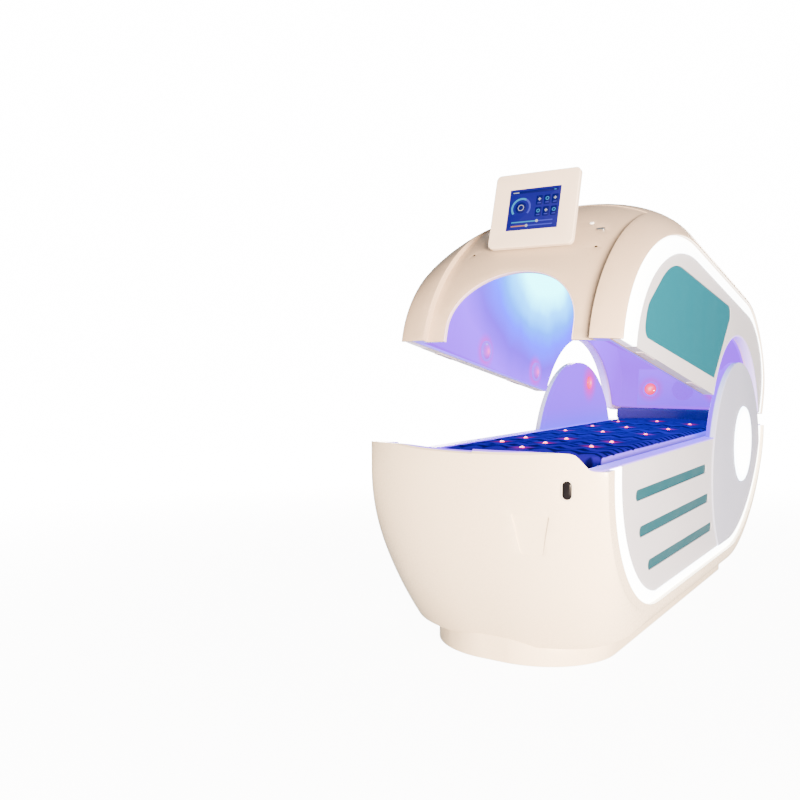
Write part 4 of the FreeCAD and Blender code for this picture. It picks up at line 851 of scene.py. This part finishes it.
@dataclass
class Cushion:
    """A flat upholstered pad: sizes in millimetres, plan in x and y, thickness in z."""

    half_wide: float
    front: float
    rear: float
    low: float
    side: float
    crown: float
    corner: float
    edge: float
    step: float
    channels: Tuple[float, ...] = ()
    channel_deep: float = 0.0
    channel_half: float = 8.0
    margin: float = 20.0
    light_reach: float = 22.0

    def places(self, low: float, high: float) -> np.ndarray:
        """Positions along a side: close together near both ends, evenly spaced between.

        Args:
            low: First position.
            high: Last position.

        Returns:
            The positions in order.
        """
        near = np.array([0.0, 1.5, 5.0, 11.0])
        count = int(round((high - low - 2 * self.margin) / self.step)) + 1
        even = np.linspace(low + self.margin, high - self.margin, count)
        return np.concatenate([low + near, even, (high - near)[::-1]])

    def rounding(self, distance: np.ndarray, reach: float) -> np.ndarray:
        """Quarter of an ellipse: 0 at the edge and 1 from the reach inwards."""
        return np.sqrt(1 - (1 - np.clip(distance / reach, 0.0, 1.0)) ** 2)

    def top(self, x: np.ndarray) -> np.ndarray:
        """Height of the crowned top at x: an arc over the width."""
        return self.low + self.side + self.crown * (1 - (x / self.half_wide) ** 2)

    def points(self) -> np.ndarray:
        """Grid of the closed cover: rows along y, columns over the top and back underneath.

        The width narrows at the ends by the corner's circle. The top rises from the waist by a quarter
        ellipse at every edge, and each channel presses a soft valley across it.

        Returns:
            Points, rows by columns by 3, in millimetres.
        """
        y = self.places(self.front, self.rear)[:, None]
        end = np.minimum(y - self.front, self.rear - y)
        inset = self.corner - np.sqrt(self.corner ** 2 - (self.corner - np.clip(end, 0.0, self.corner)) ** 2)
        half = self.half_wide - inset
        share = self.places(-self.half_wide, self.half_wide)[None, :] / self.half_wide
        x = half * share
        to_side = half - np.abs(x)
        waist = self.low + 0.45 * self.side
        upper = self.rounding(to_side, self.edge) * self.rounding(end, self.edge)
        lower = self.rounding(to_side, 0.6 * self.edge) * self.rounding(end, 0.6 * self.edge)
        dip = np.zeros_like(y)
        for middle in self.channels:
            dip = dip + self.channel_deep * np.exp(-((y - middle) / self.channel_half) ** 2)
        high = waist + (self.top(x) - waist - dip) * upper
        deep = waist - (waist - self.low) * lower
        top = np.stack([x, np.broadcast_to(y, x.shape), high], axis=-1)
        under = np.stack([x, np.broadcast_to(y, x.shape), deep], axis=-1)[:, -2:0:-1]
        return np.concatenate([top, under], axis=1)

    def build(self, name: str, lights: np.ndarray, turn: Optional[np.ndarray] = None,
              shift: Sequence[float] = (0.0, 0.0, 0.0)) -> bpy.types.Object:
        """Makes the cover, with a value of painted light round each light, and turns it to its place.

        Args:
            name: Object name.
            lights: Plan position of each light, n by 2.
            turn: Rotation matrix from the pad's own axes, or none.
            shift: Where the pad's own origin goes.

        Returns:
            The cover's object.
        """
        grid = self.points()
        flat = grid.reshape(-1, 3)
        # Painted light: a value that is 1 at each light and fades within its reach, on the upper half only.
        away = np.linalg.norm(flat[:, None, :2] - lights[None, :, :], axis=2)
        glow = np.clip(np.exp(-(away / self.light_reach) ** 2).sum(axis=1), 0.0, 1.0)
        glow *= flat[:, 2] > self.low + 0.5 * self.side
        placed = flat if turn is None else flat @ turn.T
        placed = (placed + np.array(shift)) * MM
        return mesh_object(name, placed, grid_faces(1, grid.shape[0], grid.shape[1], True), {"glow": glow})


@dataclass
class BedAssembly:
    """Padded mat with its lights, and the padded board at the foot; sizes in millimetres."""

    origin_y: float = 46.5
    mat: Cushion = field(default_factory=lambda: Cushion(
        half_wide=290.0, front=-882.5, rear=904.5, low=605.0, side=38.0, crown=12.0, corner=46.0, edge=16.0,
        step=10.0, channels=(-746.5, -551.5, -256.5, 83.5, 433.5), channel_deep=6.0))
    board: Cushion = field(default_factory=lambda: Cushion(
        half_wide=299.0, front=0.0, rear=68.0, low=-8.5, side=16.0, crown=0.8, corner=22.0, edge=8.0,
        step=11.0))
    board_y: float = 948.5
    board_low: float = 637.4
    light_x: float = 168.0
    lights_middle: Tuple[float, ...] = (-790.0, -600.0, -410.0, -30.0, 260.0, 700.0)
    lights_side: Tuple[float, ...] = (-600.0, -400.0, -10.0, 300.0, 640.0)
    light_r: float = 7.8
    light_dome: float = 4.0
    light_skirt: float = 7.0
    light_proud: float = 2.0
    channel_hold: float = 5.0
    light_hold: float = 14.0
    board_hold: float = 6.0
    mat_pressure: float = 4.0
    mat_swell: float = 4.5
    board_pressure: float = 3.0
    board_swell: float = 1.2

    def light_spots(self) -> np.ndarray:
        """Places the lights down the middle and down both sides.

        Returns:
            Plan position of every light, n by 2.
        """
        middle = [(0.0, y) for y in self.lights_middle]
        sides = [(sign * self.light_x, y) for y in self.lights_side for sign in (-1, 1)]
        return np.array(middle + sides) - np.array([0.0, self.origin_y])

    def sewn(self, piece: bpy.types.Object, pad: Cushion, lights: np.ndarray) -> np.ndarray:
        """Finds what is held in the mat: its underside, its channels and round its lights.

        Args:
            piece: The mat.
            pad: Its sizes.
            lights: Plan position of each light, n by 2.

        Returns:
            Numbers of the held vertices.
        """
        spots = np.empty(len(piece.data.vertices) * 3)
        piece.data.vertices.foreach_get("co", spots)
        spots = spots.reshape(-1, 3) * 1000
        held = spots[:, 2] < pad.low + 0.5 * pad.side
        for y in pad.channels:
            held |= np.abs(spots[:, 1] - y) < self.channel_hold
        held |= (np.linalg.norm(spots[:, None, :2] - lights[None], axis=2) < self.light_hold).any(axis=1)
        return np.flatnonzero(held)

    def build(self) -> None:
        """Builds and dresses the mat, the foot board and the lights."""
        spots = self.light_spots()
        mat = self.mat.build("mat_cover", spots)
        turn = np.array([[1.0, 0.0, 0.0], [0.0, 0.0, 1.0], [0.0, 1.0, 0.0]])
        board = self.board.build("foot_board_cover", np.empty((0, 2)), turn, (0.0, self.board_y,
                                                                              self.board_low))
        inflate(mat, self.sewn(mat, self.mat, spots), self.mat_pressure, self.mat_swell * MM)
        edge = np.empty(len(board.data.vertices) * 3)
        board.data.vertices.foreach_get("co", edge)
        low = np.flatnonzero(edge.reshape(-1, 3)[:, 2] < (self.board_low + self.board_hold) * MM)
        inflate(board, low, self.board_pressure, self.board_swell * MM)
        for piece in (mat, board):
            smooth = piece.modifiers.new("smooth", "SUBSURF")
            smooth.levels = smooth.render_levels = 1
        finish_piece(mat, MAT_COVER, Body.BASE, ["bed_mat"])
        finish_piece(board, FOOT_LEATHER, Body.BASE, ["foot_board"])
        high = self.mat.top(spots[:, 0]) + self.light_proud
        places = np.column_stack([spots, high]) * MM
        ways = np.tile([0.0, 0.0, 1.0], (len(places), 1))
        lights = lens_object("mat_light_lenses", places, ways, self.light_r * MM, self.light_dome * MM,
                             self.light_skirt * MM, 1.0)
        finish_piece(lights, DIODE_GLASS, Body.BASE, ["mat_lights"])

    def dress(self) -> None:
        """Dresses the solids under the mat."""
        # The bed board's near-black is painted shade in the gap round the mat.
        dress_node("bed_board", PLYWOOD_PAINTED_SHADE, Edge.CRISP)
        dress_node("bed_heater", ABS_BLACK, Edge.CUT)
        dress_node("bed_frame", ALUMINIUM, Edge.CRISP)


@dataclass
class BaseAssembly:
    """Lower half: moulded bowl, plinth, tub and what it stands on."""

    liner_span: Pair = (0.56, 0.68)

    def dress(self) -> None:
        """Dresses the base's solids."""
        # The tub's liner is painted near-black at the bottom and bright violet at the top: painted shade
        # below and the cabin's painted light above; the rim glows with painted violet light.
        tub = PaintedLightPlastic("liner_tub", "#3c2c86", (0.0, 0.0, 1.0), self.liner_span,
                         ((0.0, "#040114"), (0.5, "#14064c"), (0.8, "#5a24c0"), (1.0, "#8e5af6")), 3.2)
        rim = PaintedLightPlastic("rim_lavender", "#8a7cc8", (0.0, 1.0, 0.0), (-1.1, 1.0),
                         ((0.0, "#6a20e0"), (0.4, "#7020f0"), (1.0, "#5210e0")), 2.6)
        dress_node("base_shell", GELCOAT_CREAM, Edge.SOFT)
        dress_node("plinth_skirt", GELCOAT_CREAM, Edge.MOULDED)
        dress_node("plinth_frame", ALUMINIUM, Edge.CRISP)
        dress_node("levelling_feet", RUBBER, Edge.CRISP)
        dress_node("power_inlet", ABS_BLACK, Edge.CUT)
        dress_node("tub_liner", tub, Edge.MOULDED)
        dress_node("rim_trim", rim, Edge.MOULDED)
        dress_node("control_unit", ABS_BLACK, Edge.CRISP)


@dataclass
class SideAssembly:
    """Both flanks: panels, light strips, slats, windows and the hinge ears with their lamps."""

    heater_x: float = 348.0
    heater_y: float = 693.5
    heater_z: float = 835.0
    heater_r: float = 31.4
    heater_dome: float = 4.0
    heater_skirt: float = 6.0
    heater_rings: float = 4.0

    def build(self) -> None:
        """Builds the lamp lenses on the inner faces of the ears."""
        side = np.array([1.0, -1.0])
        places = np.column_stack([side * self.heater_x, [self.heater_y] * 2,
                                  [self.heater_z] * 2]) * MM
        ways = np.column_stack([-side, [0.0] * 2, [0.0] * 2])
        lens = lens_object("ear_lamp_lenses", places, ways, self.heater_r * MM, self.heater_dome * MM,
                           self.heater_skirt * MM, self.heater_rings)
        finish_piece(lens, LAMP_GLASS, Body.BASE, ["ear_heaters"])

    def dress(self) -> None:
        """Dresses the flank's solids on both sides."""
        for hand in ("right", "left"):
            dress_node("side_panel_" + hand, ABS_GREY, Edge.MOULDED)
            dress_node("lid_panel_" + hand, ABS_LID_PANEL, Edge.MOULDED)
            dress_node("base_light_" + hand, OPAL, Edge.MOULDED)
            dress_node("lid_light_" + hand, OPAL, Edge.MOULDED)
            # The slats' darker acrylic is painted shade in their recesses; both acrylics carry the cabin's
            # light painted on as a glow.
            dress_node("vent_slats_" + hand, ACRYLIC_TEAL_SHADED, Edge.MOULDED)
            dress_node("window_" + hand, ACRYLIC_TEAL, Edge.MOULDED)
            dress_node("ear_" + hand, EAR, Edge.SOFT)
            dress_node("ear_lamp_" + hand, LAMP_DISC, Edge.MOULDED)


@dataclass
class LidAssembly:
    """Upper half: moulded lid, its lit liner, lamps and fittings; sizes of the shut lid in millimetres."""

    hinge_y: float = 1048.5
    hinge_z: float = 640.0
    open_deg: float = 10.3
    wall_x: float = 333.0
    side_lamps: Tuple[Pair, ...] = ((-496.5, 705.0), (-26.5, 705.0))
    rear_lamp: Triple = (166.0, 1058.5, 800.0)
    lens_r: float = 31.4
    lens_dome: float = 9.0
    lens_skirt: float = 5.0
    lens_rings: float = 5.0
    lens_out: float = 6.0

    def raised(self, points: np.ndarray) -> np.ndarray:
        """Turns points of the shut lid, n by 3, about the hinge to the rest pose."""
        return self.turned(points - [0.0, self.hinge_y, self.hinge_z]) + [0.0, self.hinge_y, self.hinge_z]

    def turned(self, ways: np.ndarray) -> np.ndarray:
        """Turns directions of the shut lid, n by 3, to the rest pose."""
        c, s = math.cos(math.radians(self.open_deg)), math.sin(math.radians(self.open_deg))
        return ways @ np.array([[1.0, 0.0, 0.0], [0.0, c, s], [0.0, -s, c]]).T

    def lamps(self) -> Tuple[np.ndarray, np.ndarray]:
        """Finds the lamps at rest: two on each wall, then two at the rear.

        Returns:
            Place and inward direction of each, n by 3.
        """
        walls = [(sign * self.wall_x, y, z) for sign in (1, -1) for y, z in self.side_lamps]
        rear = [(sign * self.rear_lamp[0], *self.rear_lamp[1:]) for sign in (-1, 1)]
        ways = [(-sign, 0.0, 0.0) for sign in (1, -1) for _ in self.side_lamps] + [(0.0, -1.0, 0.0)] * 2
        return self.raised(np.array(walls + rear)), self.turned(np.array(ways, dtype=float))

    def build(self) -> None:
        """Builds the pressed lenses of the infrared lamps."""
        places, ways = self.lamps()
        rims = (places + ways * self.lens_out) * MM
        on_walls = 2 * len(self.side_lamps)
        for name, some, finish, replaced in (
                ("infrared_lenses", slice(on_walls, None), LAMP_GLASS, ["infrared_lamps"]),
                ("wall_lenses", slice(on_walls), WALL_GLASS, [])):
            lens = lens_object(name, rims[some], ways[some], self.lens_r * MM, self.lens_dome * MM,
                               self.lens_skirt * MM, self.lens_rings)
            finish_piece(lens, finish, Body.LID, replaced)

    def dress(self) -> None:
        """Dresses the lid's solids."""
        places = self.lamps()[0] * MM
        halos = tuple(tuple(place) for place in places.tolist())
        # The liner, sill and console carry the cabin's light painted on as glows: cyan round the ceiling
        # light, violet beyond, and warm painted pools of light at the lamps.
        liner = PaintedLightPlastic("liner_lid", "#1c1054", span=(0.15, 1.25), strength=10.0, halos=halos,
                           lamp=(-0.2, 0.1, 1.35), stretch=(1.0, 1.0, 1.4),
                           stops=((0.07, "#2bfaff"), (0.17, "#028cce"), (0.25, "#0154b0"), (0.32, "#1402c4"),
                                  (0.43, "#37028d"), (0.57, "#5003a9"), (0.95, "#47018a")))
        sill = PaintedLightPlastic("liner_sill", "#5a48b0", (0.0, 0.0, 1.0), (0.65, 1.05),
                          ((0.0, "#5008d0"), (1.0, "#7048ff")), 2.2)
        console = PaintedLightPlastic("liner_console", "#3a2a8c", (0.0, 0.0, 1.0), (0.68, 0.95),
                             ((0.0, "#48029a"), (1.0, "#6204b4")), 6.0, halos[-2:])
        dress_node("lid_shell", GELCOAT_LID, Edge.SOFT)
        dress_node("arch_trim", ABS_ARCH, Edge.MOULDED)
        dress_node("lid_liner", liner, Edge.MOULDED)
        dress_node("lid_sill", sill, Edge.CRISP)
        dress_node("rear_console", console, Edge.SOFT)
        dress_node("lid_pads", RUBBER_PALE, Edge.CUT)
        dress_node("lamp_rings", RING_VIOLET, Edge.CRISP)
        dress_node("speaker_grille", GRILLE, Edge.CUT)
        dress_node("ceiling_light", OPAL_SOFT, Edge.CRISP)
        dress_node("visor_screws", STEEL_DARK, Edge.CUT)
        dress_node("status_light", OPAL_DOT, Edge.CUT)
        dress_node("display_pedestal", ABS_CREAM, Edge.MOULDED)
        dress_node("lid_button", CHROME, Edge.CRISP)


@dataclass
class HingeAssembly:
    """Steel hinge, lever and screw actuator at the foot end."""

    steel: Tuple[str, ...] = ("hinge_brackets", "hinge_pins", "hinge_arms", "lift_lever", "crank_pin",
                              "actuator_rod")

    def dress(self) -> None:
        """Dresses the steel pieces and the actuator's aluminium housing."""
        for node in self.steel:
            dress_node(node, STEEL, Edge.CRISP)
        dress_node("lift_actuator", ALUMINIUM, Edge.CRISP)


@dataclass
class PushButton:
    """Oval push button in the bowl, a domed stadium in its bezel; sizes in millimetres."""

    wide: float = 26.0
    tall: float = 52.0
    back: float = 14.0
    proud: float = 4.0
    dome: float = 2.4
    way: Triple = (0.22325, -0.97476, 0.0)

    def build(self) -> None:
        """Builds the domed cap: the stadium's outline shrinks to the middle while the height rises.

        The height falls from the dome to the edge with the third power of the share of the outline,
        then turns over a small edge round, goes down the side and closes the back.
        """
        low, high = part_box("power_button")
        way = np.array(self.way)
        centre = (np.array(low) + np.array(high)) / 2 + way * (self.back - self.proud) / 2 * MM
        turn = np.linspace(0.0, 2 * np.pi, 48, endpoint=False) + np.pi / 48
        r = self.wide / 2
        outline = np.column_stack([r * np.cos(turn),
                                   r * np.sin(turn) + np.sign(np.sin(turn)) * (self.tall / 2 - r)])
        t = np.linspace(0.0, 0.93, 12)
        scale = np.concatenate([t, [0.965, 0.99, 1.0, 1.0, 0.0]])
        up = np.concatenate([self.proud + self.dome * (1 - t ** 3) - 1.0,
                             [self.proud - 0.8, self.proud - 1.3, self.proud - 2.0, -self.back, -self.back]])
        across = np.array([way[1], -way[0], 0.0]) * -1.0
        flat = outline[None, :, :1] * across + outline[None, :, 1:] * [0.0, 0.0, 1.0]
        points = centre[None, None, :] + MM * scale[:, None, None] * flat + MM * up[:, None, None] * way
        cap = mesh_object("power_button_cap", points, grid_faces(1, len(scale), len(turn), True))
        finish_piece(cap, ACRYLIC_BLACK, Body.POWER, ["power_button"])

    def dress(self) -> None:
        """Dresses the bezel ring round the button."""
        # The bezel's pale finish is a painted highlight round the button.
        dress_node("button_bezel", BEZEL_PAINTED_HIGHLIGHT, Edge.CRISP)


@dataclass
class DisplayAssembly:
    """Tilting tablet with a plain lit layout; sizes in millimetres, from the middle of the screen."""

    wide: float = 185.0
    tall: float = 149.0
    lift: float = 0.25
    ink: Dict[str, str] = field(default_factory=lambda: {
        "night": "#2a1fa4", "panel": "#140c78", "track": "#5a5af0", "pale": "#f0f4ff", "cyan": "#46c0ff",
        "warm": "#ffa468"})

    def plane(self) -> Tuple[np.ndarray, np.ndarray, np.ndarray]:
        """Finds the glass face from the solid's corners, whose longest spread in y and z is upwards.

        Returns:
            Middle of the face, its upward direction and its outward normal.
        """
        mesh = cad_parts["display_screen"].data
        spots = np.empty(len(mesh.vertices) * 3)
        mesh.vertices.foreach_get("co", spots)
        spots = spots.reshape(-1, 3)
        middle = (spots.min(axis=0) + spots.max(axis=0)) / 2
        flat = np.unique(np.round(spots[:, 1:] - middle[1:], 6), axis=0)
        up = np.linalg.svd(flat)[2][0]
        up = up * np.sign(up[1])
        up = np.array([0.0, up[0], up[1]])
        normal = np.cross([1.0, 0.0, 0.0], up)
        return middle + normal * ((spots - middle) @ normal).max(), up, normal

    def ring(self, x: float, y: float, inner: float, outer: float, start: float, end: float) -> np.ndarray:
        """Band between two circles about a point, from one angle to another.

        Args:
            x: Place of the middle across the screen.
            y: Place of the middle up the screen.
            inner: Radius of the inner circle.
            outer: Radius of the outer circle.
            start: First angle in degrees.
            end: Last angle in degrees.

        Returns:
            Plan points, 2 rows of 49.
        """
        turn = np.radians(np.linspace(start, end, 49))
        circle = np.stack([np.cos(turn), np.sin(turn)], axis=-1)
        return np.array([x, y]) + np.array([inner, outer])[:, None, None] * circle

    def tile(self, x: float, y: float, wide: float, tall: float, corner: float) -> np.ndarray:
        """Rounded rectangle about a point: quarter circles, moved out to the four corners.

        Args:
            x: Place of the middle across the screen.
            y: Place of the middle up the screen.
            wide: Width.
            tall: Height.
            corner: Radius of the corners.

        Returns:
            Plan points, a row at the middle and a row round the outline, 2 rows of 49.
        """
        turn = np.linspace(0.0, 2 * np.pi, 49)
        c, s = np.cos(turn), np.sin(turn)
        away = np.stack([corner * c + np.sign(np.round(c, 6)) * (wide / 2 - corner),
                         corner * s + np.sign(np.round(s, 6)) * (tall / 2 - corner)], axis=-1)
        return np.array([x, y]) + np.array([0.0, 1.0])[:, None, None] * away

    def shapes(self) -> List[Tuple[np.ndarray, str, int]]:
        """The layout on its ground: a dial at the left, six tiles at the right and two sliders below.

        Returns:
            For each shape its plan points, the name of its ink and its layer.
        """
        made = [(self.tile(0.0, 62.0, 168.0, 9.0, 4.4), "panel", 0),
                (self.tile(-70.0, 62.0, 22.0, 3.0, 1.4), "pale", 1),
                (self.tile(72.0, 62.0, 8.0, 3.0, 1.4), "cyan", 1),
                (self.ring(-46.0, 6.0, 29.0, 36.0, -40.0, 220.0), "track", 0),
                (self.ring(-46.0, 6.0, 29.0, 36.0, 60.0, 220.0), "cyan", 1),
                (self.ring(-46.0, 6.0, 0.0, 20.0, 0.0, 360.0), "panel", 0),
                (self.ring(-46.0, 6.0, 9.0, 11.0, 0.0, 360.0), "pale", 1)]
        for row, y in enumerate((28.0, -14.0)):
            for column, x in enumerate((19.0, 47.0, 75.0)):
                made.append((self.tile(x, y, 23.0, 34.0, 4.0), "panel", 0))
                made.append((self.tile(x, y - 10.0, 13.0, 2.4, 1.1), "track", 1))
                if (row + column) % 2:
                    made.append((self.ring(x, y + 4.0, 4.0, 6.4, 0.0, 360.0), "cyan", 1))
                else:
                    made.append((self.tile(x, y + 4.0, 11.0, 3.2, 1.5), "pale", 1))
                    made.append((self.tile(x, y + 4.0, 3.2, 11.0, 1.5), "pale", 1))
        for y, part, colour in ((-46.0, 0.62, "cyan"), (-60.0, 0.38, "warm")):
            long = 150.0
            made.append((self.tile(0.0, y, long, 4.0, 1.9), "track", 0))
            made.append((self.tile((part - 1) * long / 2, y, part * long, 4.0, 1.9), colour, 1))
            made.append((self.ring((part - 0.5) * long, y, 0.0, 5.0, 0.0, 360.0), "pale", 2))
        ground = (self.tile(0.0, 0.0, self.wide - 1.0, self.tall - 1.0, 2.0), "night", 0)
        return [ground] + [(shape, colour, level + 1) for shape, colour, level in made]

    def build(self) -> None:
        """Lays the shapes on the glass, each layer a little proud of the one below."""
        middle, up, normal = self.plane()
        shapes = self.shapes()
        flat = np.stack([shape for shape, _, _ in shapes])
        layer = np.array([level for _, _, level in shapes], dtype=float)
        high = (self.lift * (1 + layer))[:, None, None, None] * normal
        points = middle + MM * (flat[..., :1] * [1.0, 0.0, 0.0] + flat[..., 1:] * up + high)
        inks = np.array([linear(self.ink[colour]) for _, colour, _ in shapes])
        count, rows, columns = flat.shape[:3]
        ink = np.broadcast_to(inks[:, None, None, :], (count, rows, columns, 4)).reshape(-1, 4)
        picture = mesh_object("screen_layout", points, grid_faces(count, rows, columns, False), {"ink": ink})
        body = picture.modifiers.new("thickness", "SOLIDIFY")
        body.thickness = 0.15 * MM
        body.offset = -1.0
        finish_piece(picture, SCREEN_INK, Body.DISPLAY)

    def dress(self) -> None:
        """Dresses the tablet's solids."""
        dress_node("display_case", ABS_TABLET, Edge.MOULDED)
        dress_node("display_screen", SCREEN_GLASS, Edge.CUT)
        dress_node("display_pivot", STEEL, Edge.CUT)


@dataclass
class Studio:
    """Pale floor, soft light and the camera at the photograph's place."""

    camera_at: Triple = (1.2429, -3.4935, 0.9405)
    lens: float = 39.6
    yaw_deg: float = 32.997
    pitch_deg: float = 2.505
    sky: float = 0.4
    backdrop: float = 16.0

    def build(self) -> None:
        """Sets the floor, the sky, the lamps and the camera."""
        self.floor()
        self.world()
        self.lamp("key", (3.2, -4.1, 0.9), (2.2, 1.0), 1750.0, "#ffe4c6")
        self.lamp("fill", (5.2, -1.0, 1.6), (3.0, 3.0), 160.0, "#dfe6ff")
        self.lamp("back", (-4.2, 3.4, 1.7), (3.0, 1.6), 900.0, "#fff0e0")
        self.lamp("foot", (-1.3, 5.4, 1.9), (2.4, 1.6), 600.0, "#fff0e0")
        self.camera()

    def floor(self) -> None:
        """Round floor: a disc of rings whose colour stays pale to the horizon."""
        turn = np.linspace(0.0, 2 * np.pi, 96, endpoint=False)
        out = np.array([0.0, 2.0, 6.0, 40.0])
        points = np.stack([out[:, None] * np.cos(turn), out[:, None] * np.sin(turn),
                           np.zeros((len(out), len(turn)))], axis=-1)
        disc = mesh_object("studio_floor", points, grid_faces(1, len(out), len(turn), True))
        disc.data.materials.append(StudioPaper("studio_paper", far=self.backdrop).make())

    def world(self) -> None:
        """White sky: soft on the object, bright behind it."""
        world = bpy.data.worlds.new("studio_sky")
        bpy.context.scene.world = world
        world.use_nodes = True
        tree = world.node_tree
        tree.nodes.clear()
        seen = add_node(tree, "LightPath", {}, "Is Camera Ray")
        power = add_node(tree, "MapRange", {"To Min": self.sky, "To Max": self.backdrop, "Value": seen})
        sky = add_node(tree, "Background", {"Color": "#ffffff", "Strength": power})
        add_node(tree, "OutputWorld", {"Surface": sky})

    def lamp(self, name: str, place: Triple, size: Pair, power: float, tint: str) -> None:
        """Adds one soft lamp that looks at the capsule.

        Args:
            name: Its name.
            place: Where it stands.
            size: Its width and height.
            power: Its power in watts.
            tint: Its colour.
        """
        data = bpy.data.lights.new(name, "AREA")
        data.color = linear(tint)[:3]
        data.shape = "RECTANGLE"
        data.size, data.size_y = size
        data.energy = power
        lamp = bpy.data.objects.new(name, data)
        lamp.location = place
        lamp.rotation_euler = (Vector((0.0, 0.0, 0.7)) - Vector(place)).to_track_quat("-Z", "Y").to_euler()
        bpy.context.scene.collection.objects.link(lamp)

    def camera(self) -> None:
        """Sets the camera where the photograph was taken from."""
        data = bpy.data.cameras.new("camera")
        data.lens = self.lens
        data.sensor_width = 36.0
        camera = bpy.data.objects.new("camera", data)
        yaw, pitch = math.radians(self.yaw_deg), math.radians(self.pitch_deg)
        way = Vector((-math.sin(yaw) * math.cos(pitch), math.cos(yaw) * math.cos(pitch), -math.sin(pitch)))
        camera.location = self.camera_at
        camera.rotation_euler = way.to_track_quat("-Z", "Y").to_euler()
        bpy.context.scene.collection.objects.link(camera)
        bpy.context.scene.camera = camera


def main() -> None:
    """Builds and dresses the capsule, one sub-assembly after the other."""
    logging.basicConfig(level=logging.INFO, format="%(name)s: %(message)s")
    Studio().build()
    for assembly in (BedAssembly(), SideAssembly(), LidAssembly(), PushButton(), DisplayAssembly()):
        assembly.build()
        assembly.dress()
    for assembly in (BaseAssembly(), HingeAssembly()):
        assembly.dress()


if __name__ == "__main__":
    main()
